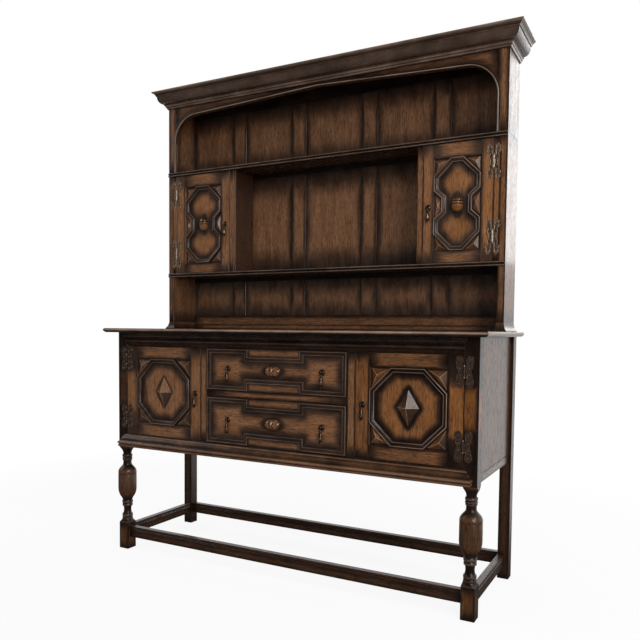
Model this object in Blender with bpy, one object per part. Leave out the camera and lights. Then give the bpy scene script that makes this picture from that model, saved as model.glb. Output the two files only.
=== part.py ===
"""Oak kitchen dresser: an open plate rack with two cupboards, on a base with two doors and two drawers.

Metres, +Z up. +X is to the right as seen from the front, and the front faces -Y.
The origin is on the floor, under the middle of the overall width and depth.
"""

import math

import bpy
import bmesh
from mathutils import Vector

# Clearances
FIT = 0.0003                    # between faces that touch on the real object
RUNNING = 0.0015                # round doors and drawer fronts

# Working top
BOARD_THICKNESS = 0.016
BOARD_OVERHANG = 0.049          # past the front of the case
BOARD_SIDE_OVERHANG = 0.036     # past each side of the case
BOARD_EASE = 0.002

# Base case
CASE_WIDTH = 1.452
CASE_DEPTH = 0.460
LEG_SQUARE = 0.045              # front leg's foot block and post
FOOT_BLOCK_HEIGHT = 0.105
POST_BLOCK_DROP = 0.0075        # post block below the case
VASE_BODY = 0.055               # plain length between the two turned runs
FOOT_CHAMFER = 0.002
REAR_POST_WIDTH = 0.040
REAR_POST_DEPTH = 0.042
REAR_POST_PROUD = 0.010         # past the face of the case side
VASE_RADIUS = 0.0358
VASE_GROOVE = 0.0015
LEG_SIDES = 16
RAIL_THICKNESS = 0.022
TOP_RAIL_HEIGHT = 0.0528
BOTTOM_RAIL_HEIGHT = 0.046
BOARD_STOCK = 0.012             # case bottom
PARTITION_THICKNESS = 0.018
MUNTIN_WIDTH = 0.028
MUNTIN_INNER = 0.288            # half of the drawer opening
SIDE_THICKNESS = 0.018
SIDE_SETBACK = 0.001
SIDE_RAIL_HEIGHT = 0.026
SIDE_GROOVE = 0.003
BACK_THICKNESS = 0.008
BACK_INSET = 0.002

# Stretchers
STRETCHER_BOTTOM = 0.048
STRETCHER_HEIGHT = 0.043
STRETCHER_THICKNESS = 0.022
STRETCHER_SETBACK_FRONT = 0.011
STRETCHER_SETBACK_SIDE = 0.0055
STRETCHER_EASE = 0.002

# Case mouldings, as (distance out from the face, height) pairs
TOP_MOULD_SETBACK = 0.009       # moulding's ends from the inside of the posts
TOP_MOULD_DROP = 0.042          # below the working top's underside
BOTTOM_MOULD_ONTO_POST = 0.006  # moulding's thin upper edge past the inside of the posts
BOTTOM_MOULD_DROP = 0.004       # below the underside of the case

# Drawers
LOWER_DRAWER_OPENING = 0.1715
UPPER_DRAWER_OPENING = 0.1542
DRAWER_DIVIDER_HEIGHT = 0.024
DUST_BOARD_THICKNESS = 0.008
DRAWER_FRONT_THICKNESS = 0.020
DRAWER_REAR_PLAY = 0.040        # behind the drawer
DRAWER_SIDE_PLAY = 0.004
DRAWER_TOP_PLAY = 0.020
DRAWER_WALL = 0.010
DRAWER_FLOOR = 0.007
DRAWER_NOTCH_HALF = 0.106
DRAWER_NOTCH_DEPTH = 0.027
DRAWER_MOULD_INSET = 0.0015
DRAWER_PULL_X = 0.193
DRAWER_PULL_RISE = 0.003        # above the middle of the drawer front
DRAWER_BOSS_LENGTH = 0.065
DRAWER_BOSS_HEIGHT = 0.038

# Plate rack
RACK_INSET = 0.001              # rack's side from the case's side
RACK_DEPTH = 0.158
BOTTOM_BAY = 0.223              # working top to lower shelf
MIDDLE_BAY = 0.415              # between the shelves
TOP_BAY = 0.2715                # upper shelf to the cornice
RACK_SIDE_THICKNESS = 0.026
RACK_STILE_WIDTH = 0.044
RACK_STILE_THICKNESS = 0.022
RACK_FOOT_HEIGHT = 0.031
RACK_FOOT_OUT = 0.011
RACK_BACK_THICKNESS = 0.014
RACK_PANEL_DEPTH = 0.006
RACK_MUNTIN_WIDTH = 0.063
RACK_MUNTIN_X = (-0.453, -0.159, 0.159, 0.453)
RACK_BOTTOM_RAIL = 0.061        # height of the back's bottom rail
RACK_PLINTH_HEIGHT = 0.023
RACK_PLINTH_OUT = 0.007
RACK_HIDDEN_RAIL = 0.030        # back rails behind the shelves and the cornice
SHELF_THICKNESS = 0.016
SHELF_NOSING = 0.008
SHELF_END_SETBACK = 0.002
FRIEZE_THICKNESS = 0.018
ARCH_STILE_WIDTH = 0.039
ARCH_CORNER_DROP = 0.0425       # from the cornice to where the slopes would meet the stiles
ARCH_PEAK_DROP = 0.0125
ARCH_CORNER_RADIUS = 0.110
ARCH_STEPS = 8
CUPBOARD_PARTITION_THICKNESS = 0.022
CUPBOARD_LEFT_OPENING = 0.276   # door opening, hinge stile to partition
CUPBOARD_RIGHT_OPENING = 0.250

# Cornice
CORNICE_HEIGHT = 0.068
CORNICE_OUT = 0.052
CORNICE_BOARD = 0.014

# Doors
DOOR_THICKNESS = 0.020
BASE_STILE = 0.050
BASE_DOOR_RAIL = 0.046
RACK_HINGE_STILE = 0.168        # share of the door's width
RACK_LOCK_STILE = 0.153         # share of the door's width
RACK_DOOR_TOP_RAIL = 0.050
RACK_DOOR_BOTTOM_RAIL = 0.040
PANEL_RECESS = 0.008            # panel face behind the frame face
PANEL_THICKNESS = 0.007
MOULD_WIDTH = 0.017
MOULD_PROUD = 0.006             # moulding above the frame face
MOULD_EDGE = 0.0007             # between the moulding and the panel's edge
RACK_CORNER = 0.060             # corner cuts of a rack panel's moulding
RACK_WAIST = 0.029              # waist cuts of a rack panel's moulding
WAIST_HEIGHT = 0.046
WAIST_SLOPE = 0.90              # rise of the waist's slopes for their run
SPANDREL_HEIGHT = 0.011
SPANDREL_INSET = 0.003
DIAMOND_WIDTH = 0.072
DIAMOND_HEIGHT = 0.116
DIAMOND_PROUD = 0.024
ACORN_WIDTH = 0.039
ACORN_HEIGHT = 0.064
OVERLAP = 0.001                 # how far joined shapes run into each other
TONGUE_DROP = 0.004             # tongue's top below the moulding's thin upper edge

# Hinges
PIN_RADIUS = 0.0012
PIN_PLAY = 0.0005
KNUCKLE_RADIUS = 0.0033
KNUCKLE_CLEAR = 0.0007          # knuckle from the wood, and from the other leaf
KNUCKLE_SIDES = 10
TAB_REACH = 0.002               # knuckle's tab into the leaf
LEAF_THICKNESS = 0.002
LEAF_WIDTH = 0.0245
BASE_HINGE_HEIGHT = 0.097
BASE_BARREL = 0.030
BASE_HINGE_ENDS = (0.0670, 0.0512)  # hinge centres from the door's lower and upper end
RACK_HINGE_HEIGHT = 0.122
RACK_BARREL = 0.040
RACK_HINGE_ENDS = (0.0825, 0.0795)

# Drop pulls
PLATE_RADIUS = 0.012
PLATE_THICKNESS = 0.002
PULL_PIN_RADIUS = 0.0013
PULL_PIN_PLAY = 0.0006
EYE_RADIUS = 0.0042
EYE_THICKNESS = 0.0036
EYE_PLAY = 0.0004               # each side of the eye
CHEEK_THICKNESS = 0.0022
CHEEK_REACH = 0.0028            # cheek past the pin's axis
DROP_LENGTH = 0.053             # pin's axis to the tip
DROP_RADIUS = 0.0072
DROP_CLEAR = 0.0008             # hanging drop from the wood
DROP_SIDES = 8
RING_SIDES = 12
BASE_DOOR_PULL_RISE = 0.175     # above the door's lower end
RACK_DOOR_PULL_RISE = 0.1945

# Turned part of a front leg: (distance from its block, radius). The upper run goes down from the
# post block and the lower run goes up from the foot block, and the vase's plain body joins them.
UPPER_TURNING = (
    (0.005, 0.0290), (0.012, 0.0235), (0.020, 0.0185), (0.028, 0.0162), (0.034, 0.0165),
    (0.035, 0.0195), (0.043, 0.0195), (0.045, 0.0172), (0.047, 0.0197), (0.052, 0.0197),
    (0.0535, 0.0174), (0.055, 0.0187), (0.058, 0.0187), (0.060, 0.0165), (0.068, 0.0162),
    (0.076, 0.0175), (0.082, 0.0225), (0.088, 0.0280), (0.094, 0.0325), (0.100, 0.0352),
    (0.109, VASE_RADIUS), (0.1105, VASE_RADIUS - VASE_GROOVE), (0.1125, VASE_RADIUS - VASE_GROOVE),
    (0.114, VASE_RADIUS),
)
LOWER_TURNING = (
    (0.005, 0.0265), (0.009, 0.0222), (0.014, 0.0205), (0.018, 0.0208), (0.021, 0.0185),
    (0.024, 0.0203), (0.034, 0.0203), (0.037, 0.0165), (0.045, 0.0148), (0.054, 0.0142),
    (0.062, 0.0155), (0.065, 0.0178), (0.067, 0.0200), (0.074, 0.0200), (0.0765, 0.0183),
    (0.079, 0.0210), (0.087, 0.0210), (0.090, 0.0190), (0.096, 0.0200), (0.102, 0.0235),
    (0.110, 0.0288), (0.119, 0.0325), (0.130, 0.0350), (0.141, VASE_RADIUS),
)
EASED_ANGLE = math.radians(60)
BLOCK_SHOULDER = 0.010          # turned length that still meets the square block

# Moulding sections: (out from the face, up from the moulding's lower edge)
TOP_MOULD = (
    (0.003, 0.000), (0.008, 0.002), (0.010, 0.009), (0.008, 0.016), (0.005, 0.019),
    (0.006, 0.024), (0.016, 0.026), (0.021, 0.033), (0.022, 0.0415),
)
BOTTOM_MOULD = (
    (0.019, 0.000), (0.0225, 0.0025), (0.0225, 0.007), (0.020, 0.0095), (0.024, 0.0125), (0.024, 0.019),
    (0.019, 0.022), (0.017, 0.024), (0.014, 0.033), (0.007, 0.041), (0.006, 0.044), (0.002, 0.047),
)
CORNICE_FILLETS = (
    (0.004, 0.000), (0.006, 0.006), (0.009, 0.008), (0.010, 0.013), (0.014, 0.015), (0.014, 0.020),
)
CORNICE_OVOLO_END = (0.036, 0.018)          # out from the face, below the top
CORNICE_CROWN = (
    (0.039, 0.0175), (0.040, 0.014), (CORNICE_OUT - 0.0015, 0.005), (CORNICE_OUT, 0.0035), (CORNICE_OUT, 0.0),
)
OVOLO_STEPS = 5

# Section of the mouldings on doors and drawers: (in from the outline, above the panel's face)
BAND_SECTION = ((0.0, 0.85), (0.18, 1.0), (0.38, 0.92), (0.50, 0.62), (0.78, 0.58))

# Egg-shaped bosses: sections along the length, with a groove each side of a band round the middle
EGG_STATIONS = (-0.98, -0.85, -0.60, -0.30, -0.16, -0.12, 0.12, 0.16, 0.30, 0.60, 0.85, 0.98)
EGG_GROOVE_AT = 0.16
EGG_GROOVE = 0.88               # share of the full width left in the groove
ARC_STEPS = 8

# Hinge leaf's upper half: (share of the width from the pin, share of the half height)
LEAF_OUTLINE = (
    (0.00, 0.32), (0.10, 0.40), (0.24, 0.47), (0.10, 0.58), (0.04, 0.72), (0.12, 0.88), (0.38, 1.00),
    (0.72, 0.97), (0.98, 0.84), (1.00, 0.68), (0.80, 0.57), (0.52, 0.50), (0.60, 0.34), (0.38, 0.16),
)

# Drop's turned outline: (share of the length below the pin, share of the greatest radius)
DROP_OUTLINE = (
    (0.068, 0.28), (0.16, 0.30), (0.22, 0.46), (0.27, 0.30), (0.42, 0.40), (0.60, 0.74), (0.74, 1.00),
    (0.86, 0.86), (0.91, 0.40), (0.95, 0.44), (1.00, 0.16),
)

# Planes that the pieces share
FRONT = BOARD_OVERHANG - (CASE_DEPTH + BOARD_OVERHANG) / 2
BACK = FRONT + CASE_DEPTH
POST_BLOCK_BOTTOM = FOOT_BLOCK_HEIGHT + LOWER_TURNING[-1][0] + VASE_BODY + UPPER_TURNING[-1][0]
CASE_BOTTOM = POST_BLOCK_BOTTOM + POST_BLOCK_DROP
POST_INNER = CASE_WIDTH / 2 - LEG_SQUARE
RAIL_TOP = CASE_BOTTOM + BOTTOM_RAIL_HEIGHT
DIVIDER_BOTTOM = RAIL_TOP + LOWER_DRAWER_OPENING
DIVIDER_TOP = DIVIDER_BOTTOM + DRAWER_DIVIDER_HEIGHT
TOP_RAIL_BOTTOM = DIVIDER_TOP + UPPER_DRAWER_OPENING
BOARD_BOTTOM = TOP_RAIL_BOTTOM + TOP_RAIL_HEIGHT
BOARD_TOP = BOARD_BOTTOM + BOARD_THICKNESS
BOARD_HALF_WIDTH = CASE_WIDTH / 2 + BOARD_SIDE_OVERHANG
SIDE_OUTER = CASE_WIDTH / 2 - SIDE_SETBACK
SIDE_INNER = SIDE_OUTER - SIDE_THICKNESS
REAR_POST_OUTER = CASE_WIDTH / 2 + REAR_POST_PROUD
REAR_POST_INNER = REAR_POST_OUTER - REAR_POST_WIDTH
CASE_BACK_FACE = BACK - BACK_INSET - BACK_THICKNESS
PARTITION_X = MUNTIN_INNER + MUNTIN_WIDTH / 2
RACK_FRONT = BACK - RACK_DEPTH
RACK_OUTER = CASE_WIDTH / 2 - RACK_INSET
RACK_INNER = RACK_OUTER - RACK_SIDE_THICKNESS
RACK_STILE_INNER = RACK_OUTER - RACK_STILE_WIDTH
RACK_BACK_FACE = BACK - RACK_BACK_THICKNESS
LOWER_SHELF_BOTTOM = BOARD_TOP + BOTTOM_BAY
LOWER_SHELF_TOP = LOWER_SHELF_BOTTOM + SHELF_THICKNESS
UPPER_SHELF_BOTTOM = LOWER_SHELF_TOP + MIDDLE_BAY
UPPER_SHELF_TOP = UPPER_SHELF_BOTTOM + SHELF_THICKNESS
CORNICE_BOTTOM = UPPER_SHELF_TOP + TOP_BAY
RACK_TOP = CORNICE_BOTTOM + CORNICE_HEIGHT
RACK_UNDER_BOARD = RACK_TOP - CORNICE_BOARD
PIN_STANDOFF = KNUCKLE_RADIUS + KNUCKLE_CLEAR
LEAF_START = KNUCKLE_RADIUS + KNUCKLE_CLEAR
KNUCKLE_BORE = PIN_RADIUS + PIN_PLAY
PULL_PIN_OUT = DROP_RADIUS + DROP_CLEAR
EYE_BORE = PULL_PIN_RADIUS + PULL_PIN_PLAY
CHEEK_GAP = EYE_THICKNESS + 2 * EYE_PLAY
SIDES = (("left", -1), ("right", 1))
LEVELS = ("lower", "upper")


def clear_scene():
    """Remove whatever the file holds."""
    for old in list(bpy.data.objects):
        bpy.data.objects.remove(old, do_unlink=True)


def make_material(name, colour, roughness, metallic=0.0):
    """A Principled material in one colour."""
    material = bpy.data.materials.new(name)
    material.use_nodes = True
    shader = material.node_tree.nodes["Principled BSDF"]
    shader.inputs["Base Color"].default_value = (*colour, 1.0)
    shader.inputs["Roughness"].default_value = roughness
    shader.inputs["Metallic"].default_value = metallic
    material.diffuse_color = (*colour, 1.0)
    return material


def finish_mesh(name, bm, material):
    """Turn a bmesh into a named object with its faces pointing out."""
    bmesh.ops.recalc_face_normals(bm, faces=bm.faces)
    mesh = bpy.data.meshes.new(name)
    bm.to_mesh(mesh)
    bm.free()
    mesh.materials.append(material)
    obj = bpy.data.objects.new(name, mesh)
    bpy.context.collection.objects.link(obj)
    return obj


def loft(name, rings, material, closed=False):
    """Join rings of points into a solid, capped at both ends, or closed round on itself."""
    bm = bmesh.new()
    rows = [[bm.verts.new(point) for point in ring] for ring in rings]
    pairs = list(zip(rows, rows[1:]))
    if closed:
        pairs.append((rows[-1], rows[0]))
    for low, high in pairs:
        for i in range(len(low)):
            j = (i + 1) % len(low)
            bm.faces.new((low[i], low[j], high[j], high[i]))
    if not closed:
        bm.faces.new(rows[0])
        bm.faces.new(rows[-1])
    return finish_mesh(name, bm, material)


def place(axis, across, along):
    """Put a point of an outline at a distance along an axis."""
    first, second = across
    return {"X": (along, first, second), "Y": (first, along, second), "Z": (first, second, along)}[axis]


def prism(name, outline, axis, span, material):
    """Extrude an outline along an axis. The outline is in the other two axes, in X, Y, Z order."""
    return loft(name, [[place(axis, point, along) for point in outline] for along in span], material)


def rectangle(first_span, second_span):
    """Corners of a rectangle, anticlockwise."""
    (a0, a1), (b0, b1) = first_span, second_span
    return [(a0, b0), (a1, b0), (a1, b1), (a0, b1)]


def pierced(name, outer, inner, axis, span, material):
    """Extrude an outline along an axis, with a hole of as many sides through it."""
    order = ((outer, span[0]), (outer, span[1]), (inner, span[1]), (inner, span[0]))
    rings = [[place(axis, point, along) for point in ring] for ring, along in order]
    return loft(name, rings, material, closed=True)


def box(name, x_span, y_span, z_span, material):
    """A plain block."""
    return prism(name, rectangle(x_span, y_span), "Z", z_span, material)


def circle(centre, radius, sides):
    """Points of a regular polygon round a centre."""
    turn = [math.tau * i / sides for i in range(sides)]
    return [(centre[0] + radius * math.cos(a), centre[1] + radius * math.sin(a)) for a in turn]


def combine(target, tools, operation):
    """Join the tools to a solid, or cut them out of it, in one step, and remove them."""
    material = target.data.materials[0]
    group = bpy.data.collections.new("tools")
    for tool in tools:
        group.objects.link(tool)
    modifier = target.modifiers.new("shape", "BOOLEAN")
    modifier.operation = operation
    modifier.operand_type = "COLLECTION"
    modifier.collection = group
    evaluated = target.evaluated_get(bpy.context.evaluated_depsgraph_get())
    mesh = bpy.data.meshes.new_from_object(evaluated)
    target.modifiers.clear()
    target.data = mesh
    for tool in list(tools):
        bpy.data.objects.remove(tool, do_unlink=True)
    bpy.data.collections.remove(group)
    target.data.materials.clear()
    target.data.materials.append(material)
    return target


def join(target, *tools):
    """Make one solid of several that overlap."""
    return combine(target, tools, "UNION")


def cut(target, *tools):
    """Take shapes out of a solid."""
    return combine(target, tools, "DIFFERENCE")


def ease(obj, width):
    """Take the sharpness off a board's outer edges."""
    bm = bmesh.new()
    bm.from_mesh(obj.data)
    edges = [edge for edge in bm.edges if edge.calc_face_angle_signed() > EASED_ANGLE]
    bmesh.ops.bevel(bm, geom=edges, offset=width, segments=1, profile=0.5, affect="EDGES")
    bm.to_mesh(obj.data)
    bm.free()
    return obj


def shade_round(obj):
    """Shade a turned piece smooth, with its steps kept crisp."""
    obj.data.shade_smooth()
    obj.data.set_sharp_from_angle(angle=math.radians(35))
    return obj


def between(sign, inner, outer):
    """A span on one side of the middle, given as distances from it."""
    return tuple(sorted((sign * inner, sign * outer)))


def inset_span(span, inset):
    """A span made shorter at both ends."""
    return inset_ends(span, (inset, inset))


def inset_ends(span, insets):
    """Points in from the two ends of a span, each by its own distance."""
    return (span[0] + insets[0], span[1] - insets[1])


def returned_moulding(name, section, half_width, face, back, bottom, material):
    """A moulding that runs across a face and returns to it at both ends."""
    rings = []
    for out, rise in section:
        x = half_width + out
        ring = [(-x, back), (-x, face - out), (x, face - out), (x, back)]
        rings.append([(px, py, bottom + rise) for px, py in ring])
    return loft(name, rings, material)


def offset_outline(outline, inset):
    """Move every edge of a closed outline inwards by the same distance. It runs anticlockwise."""
    moved = []
    count = len(outline)
    for i in range(count):
        before = Vector(outline[i]) - Vector(outline[i - 1])
        after = Vector(outline[(i + 1) % count]) - Vector(outline[i])
        n1 = Vector((-before.y, before.x)).normalized()
        n2 = Vector((-after.y, after.x)).normalized()
        mitre = (n1 + n2) / (1 + n1.dot(n2))
        moved.append(tuple(Vector(outline[i]) + inset * mitre))
    return moved


def moulding_band(name, outline, base_y, height, material):
    """A mitred moulding along a closed outline on a front face, let into it a little."""
    rings = []
    for inset, rise in BAND_SECTION:
        ring = offset_outline(outline, inset * MOULD_WIDTH)
        rings.append([(x, base_y - rise * height, z) for x, z in ring])
    for inset in (MOULD_WIDTH, 0.0):
        rings.append([(x, base_y + OVERLAP, z) for x, z in offset_outline(outline, inset)])
    return loft(name, rings, material, closed=True)


def pyramid(name, base, apex, base_y, height, material):
    """A low pyramid on a front face, let into it a little, over a polygon of (x, z) points."""
    bm = bmesh.new()
    foot = [bm.verts.new((x, base_y + OVERLAP, z)) for x, z in base]
    tip = bm.verts.new((apex[0], base_y - height, apex[1]))
    for i in range(len(base)):
        bm.faces.new((foot[i], foot[(i + 1) % len(base)], tip))
    bm.faces.new(foot)
    return finish_mesh(name, bm, material)


def split_turning(name, centre, size, along, base_y, material):
    """Half of a turned egg with a band round its middle, laid on a front face along X or Z."""
    length, width = size
    arc = [math.pi * i / ARC_STEPS for i in range(1, ARC_STEPS)]
    rings = []
    for t in EGG_STATIONS:
        reach = width / 2 * math.sqrt(1 - t * t) * (EGG_GROOVE if abs(t) == EGG_GROOVE_AT else 1.0)
        section = [(reach, OVERLAP)]
        section += [(reach * math.cos(a), -reach * math.sin(a)) for a in arc]
        section.append((-reach, OVERLAP))
        run = t * length / 2
        if along == "X":
            rings.append([(centre[0] + run, base_y + y, centre[1] + off) for off, y in section])
        else:
            rings.append([(centre[0] + off, base_y + y, centre[1] + run) for off, y in section])
    return loft(name, rings, material)


def make_materials():
    """Stained oak in three depths of tone, and dark bronze hardware."""
    return {
        "oak": make_material("stained_oak", (0.12, 0.055, 0.025), 0.35),
        "oak_dark": make_material("dark_stained_oak", (0.05, 0.025, 0.015), 0.35),
        "oak_panel": make_material("burnished_oak", (0.22, 0.095, 0.035), 0.3),
        "bronze": make_material("dark_bronze", (0.09, 0.06, 0.045), 0.4, 0.9),
    }


def make_top_board(tones):
    """The working top, which overhangs the case at the front and sides."""
    half = BOARD_HALF_WIDTH
    y_span = (FRONT - BOARD_OVERHANG, BACK)
    board = box("top_board", (-half, half), y_span, (BOARD_BOTTOM, BOARD_TOP), tones["oak"])
    ease(board, BOARD_EASE)


def leg_ring(centre, z, radius=None, half=None):
    """One section of a turned leg: round, square, or a square with its corners turned away."""
    ring = []
    for i in range(LEG_SIDES):
        a = math.tau * i / LEG_SIDES
        limits = []
        if radius is not None:
            limits.append(radius)
        if half is not None:
            limits.append(half / max(abs(math.cos(a)), abs(math.sin(a))))
        reach = min(limits)
        ring.append((centre[0] + reach * math.cos(a), centre[1] + reach * math.sin(a), z))
    return ring


def make_front_leg(side, sign, tones):
    """Foot block, turned vase and rings, and the post that runs up to the working top."""
    half = LEG_SQUARE / 2
    centre = (sign * (CASE_WIDTH / 2 - half), FRONT + half)
    rings = [
        leg_ring(centre, 0.0, half=half - FOOT_CHAMFER),
        leg_ring(centre, FOOT_CHAMFER, half=half),
        leg_ring(centre, FOOT_BLOCK_HEIGHT, half=half),
    ]
    for rise, radius in LOWER_TURNING:
        square = half if rise < BLOCK_SHOULDER else None
        rings.append(leg_ring(centre, FOOT_BLOCK_HEIGHT + rise, radius, square))
    for drop, radius in reversed(UPPER_TURNING):
        square = half if drop < BLOCK_SHOULDER else None
        rings.append(leg_ring(centre, POST_BLOCK_BOTTOM - drop, radius, square))
    rings.append(leg_ring(centre, POST_BLOCK_BOTTOM, half=half))
    rings.append(leg_ring(centre, BOARD_BOTTOM - FIT, half=half))
    shade_round(loft("front_leg_" + side, rings, tones["oak_dark"]))


def make_rear_leg(side, sign, tones):
    """A square post from the floor to the working top, proud of the case side."""
    x_span = between(sign, REAR_POST_INNER, REAR_POST_OUTER)
    y_span = (BACK - REAR_POST_DEPTH, BACK)
    leg = box("rear_leg_" + side, x_span, y_span, (0.0, BOARD_BOTTOM - FIT), tones["oak_dark"])
    ease(leg, FOOT_CHAMFER)


def make_stretchers(tones):
    """Four rails between the feet."""
    front_x = POST_INNER - FIT
    front_y = FRONT + STRETCHER_SETBACK_FRONT
    rear_x = REAR_POST_INNER - FIT
    rear_y = BACK - REAR_POST_DEPTH / 2 - STRETCHER_THICKNESS / 2
    places = {
        "front": ((-front_x, front_x), (front_y, front_y + STRETCHER_THICKNESS)),
        "rear": ((-rear_x, rear_x), (rear_y, rear_y + STRETCHER_THICKNESS)),
    }
    outer = CASE_WIDTH / 2 - STRETCHER_SETBACK_SIDE
    for side, sign in SIDES:
        x_span = between(sign, outer - STRETCHER_THICKNESS, outer)
        places[side] = (x_span, (FRONT + LEG_SQUARE + FIT, BACK - REAR_POST_DEPTH - FIT))
    z_span = (STRETCHER_BOTTOM, STRETCHER_BOTTOM + STRETCHER_HEIGHT)
    for where, (x_span, y_span) in places.items():
        ease(box("stretcher_" + where, x_span, y_span, z_span, tones["oak_dark"]), STRETCHER_EASE)


def make_base_side(side, sign, tones):
    """Case side: a panel and its bottom rail, with a groove between them."""
    y_span = (FRONT + LEG_SQUARE + FIT, BACK - REAR_POST_DEPTH - FIT)
    x_span = between(sign, SIDE_INNER, SIDE_OUTER)
    panel = box("base_side_" + side, x_span, y_span, (CASE_BOTTOM, BOARD_BOTTOM - FIT), tones["oak"])
    groove_z = CASE_BOTTOM + SIDE_RAIL_HEIGHT
    groove_x = between(sign, SIDE_OUTER - SIDE_GROOVE, SIDE_OUTER + SIDE_GROOVE)
    groove_y = (y_span[0] - OVERLAP, y_span[1] + OVERLAP)
    cut(panel, box("groove", groove_x, groove_y, (groove_z, groove_z + SIDE_GROOVE), tones["oak"]))


def make_base_back(tones):
    """Thin back between the rear posts."""
    x = REAR_POST_INNER - FIT
    z_span = (CASE_BOTTOM, BOARD_BOTTOM - FIT)
    box("base_back", (-x, x), (CASE_BACK_FACE, BACK - BACK_INSET), z_span, tones["oak_dark"])


def make_base_bottom(tones):
    """Case bottom, notched round the four posts, with the front rail and its moulding."""
    side_x = SIDE_INNER - FIT
    front_x = POST_INNER - FIT
    rear_x = min(REAR_POST_INNER, SIDE_INNER) - FIT
    front_y = FRONT + LEG_SQUARE + FIT
    rear_y = BACK - REAR_POST_DEPTH - FIT
    back_y = CASE_BACK_FACE - FIT
    start_y = FRONT + RAIL_THICKNESS / 2
    right = [
        (front_x, start_y), (front_x, front_y), (side_x, front_y),
        (side_x, rear_y), (rear_x, rear_y), (rear_x, back_y),
    ]
    outline = right + [(-x, y) for x, y in reversed(right)]
    tone = tones["oak"]
    board = prism("base_bottom", outline, "Z", (RAIL_TOP - BOARD_STOCK, RAIL_TOP), tone)
    rail = box("rail", (-front_x, front_x), (FRONT, FRONT + RAIL_THICKNESS), (CASE_BOTTOM, RAIL_TOP), tone)
    bottom = CASE_BOTTOM - BOTTOM_MOULD_DROP
    tongue_z = (CASE_BOTTOM + OVERLAP, bottom + BOTTOM_MOULD[-1][1] - TONGUE_DROP)
    half_width = POST_INNER + BOTTOM_MOULD_ONTO_POST
    mould = planted_moulding(BOTTOM_MOULD, half_width, bottom, front_x, tongue_z, tone)
    join(board, rail, *mould)


def planted_moulding(section, half_width, bottom, tongue_x, tongue_z, tone):
    """A moulding in front of a rail and the posts beside it, and the tongue that holds it to the rail."""
    moulding = returned_moulding("moulding", section, half_width, FRONT, FRONT - FIT, bottom, tone)
    x = tongue_x - OVERLAP
    return moulding, box("tongue", (-x, x), (FRONT - OVERLAP, FRONT + OVERLAP), tongue_z, tone)


def make_top_rail(tones):
    """Front rail under the working top, with a moulding in two bands."""
    x = POST_INNER - FIT
    z_top = BOARD_BOTTOM - FIT
    tone = tones["oak_dark"]
    rail = box("top_rail", (-x, x), (FRONT, FRONT + RAIL_THICKNESS), (TOP_RAIL_BOTTOM, z_top), tone)
    bottom = BOARD_BOTTOM - TOP_MOULD_DROP
    half_width = POST_INNER - TOP_MOULD_SETBACK
    tongue_z = (bottom + OVERLAP, z_top - OVERLAP)
    mould = planted_moulding(TOP_MOULD, half_width, bottom, half_width, tongue_z, tone)
    join(rail, *mould)


def make_partition(side, sign, tones):
    """Upright board between a cupboard and the drawers, with the muntin on its front edge."""
    x = sign * PARTITION_X
    half = PARTITION_THICKNESS / 2
    y_back = CASE_BACK_FACE - FIT
    rail_back = FRONT + RAIL_THICKNESS + FIT
    low_z = (RAIL_TOP + FIT, TOP_RAIL_BOTTOM - FIT)
    high_z = (TOP_RAIL_BOTTOM - FIT - OVERLAP, BOARD_BOTTOM - FIT)
    muntin_x = (x - MUNTIN_WIDTH / 2, x + MUNTIN_WIDTH / 2)
    board_x = (x - half, x + half)
    tone = tones["oak"]
    muntin = box("partition_" + side, muntin_x, (FRONT, rail_back), low_z, tone)
    low_board = box("low_board", board_x, (rail_back - OVERLAP, y_back), low_z, tone)
    high_board = box("high_board", board_x, (rail_back, y_back), high_z, tone)
    join(muntin, low_board, high_board)


def make_drawer_divider(tones):
    """Rail between the drawers, with the board that the upper drawer runs on."""
    x = MUNTIN_INNER - FIT
    rail_y = (FRONT, FRONT + RAIL_THICKNESS)
    rail = box("drawer_divider", (-x, x), rail_y, (DIVIDER_BOTTOM, DIVIDER_TOP), tones["oak"])
    board_x = min(PARTITION_X - PARTITION_THICKNESS / 2, MUNTIN_INNER) - FIT
    board_y = (FRONT + RAIL_THICKNESS - OVERLAP, CASE_BACK_FACE - FIT)
    board_z = (DIVIDER_TOP - DUST_BOARD_THICKNESS, DIVIDER_TOP)
    join(rail, box("dust_board", (-board_x, board_x), board_y, board_z, tones["oak"]))


def pull_fittings(x, face_y, z, tones):
    """Round plate with a staple and pin, that a drop hangs from."""
    tone = tones["bronze"]
    plate_y = (face_y - PLATE_THICKNESS, face_y + OVERLAP)
    parts = [prism("plate", circle((x, z), PLATE_RADIUS, RING_SIDES), "Y", plate_y, tone)]
    axis_y = face_y - PULL_PIN_OUT
    for sign in (-1, 1):
        inner = CHEEK_GAP / 2
        x_span = (x + sign * inner, x + sign * (inner + CHEEK_THICKNESS))
        y_span = (axis_y - CHEEK_REACH, face_y - PLATE_THICKNESS / 2)
        parts.append(box("cheek", sorted(x_span), y_span, (z - CHEEK_REACH, z + CHEEK_REACH), tone))
    reach = CHEEK_GAP / 2 + CHEEK_THICKNESS / 2
    pin = circle((axis_y, z), PULL_PIN_RADIUS, DROP_SIDES)
    parts.append(prism("pin", pin, "X", (x - reach, x + reach), tone))
    return parts


def make_drop(name, x, face_y, z, carrier, tones):
    """Pear-shaped drop that swings on the pin of its staple."""
    axis_y = face_y - PULL_PIN_OUT
    half = EYE_THICKNESS / 2
    outer = circle((axis_y, z), EYE_RADIUS, RING_SIDES)
    inner = circle((axis_y, z), EYE_BORE, RING_SIDES)
    eye = pierced(name, outer, inner, "X", (x - half, x + half), tones["bronze"])
    rings = []
    for share, swell in DROP_OUTLINE:
        ring = circle((x, axis_y), swell * DROP_RADIUS, DROP_SIDES)
        rings.append([(px, py, z - share * DROP_LENGTH) for px, py in ring])
    join(eye, loft("pear", rings, tones["bronze"]))
    shade_round(eye)
    pivot = make_pivot(name + "_pivot", (x, axis_y, z), carrier)
    hang(eye, pivot)


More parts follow.
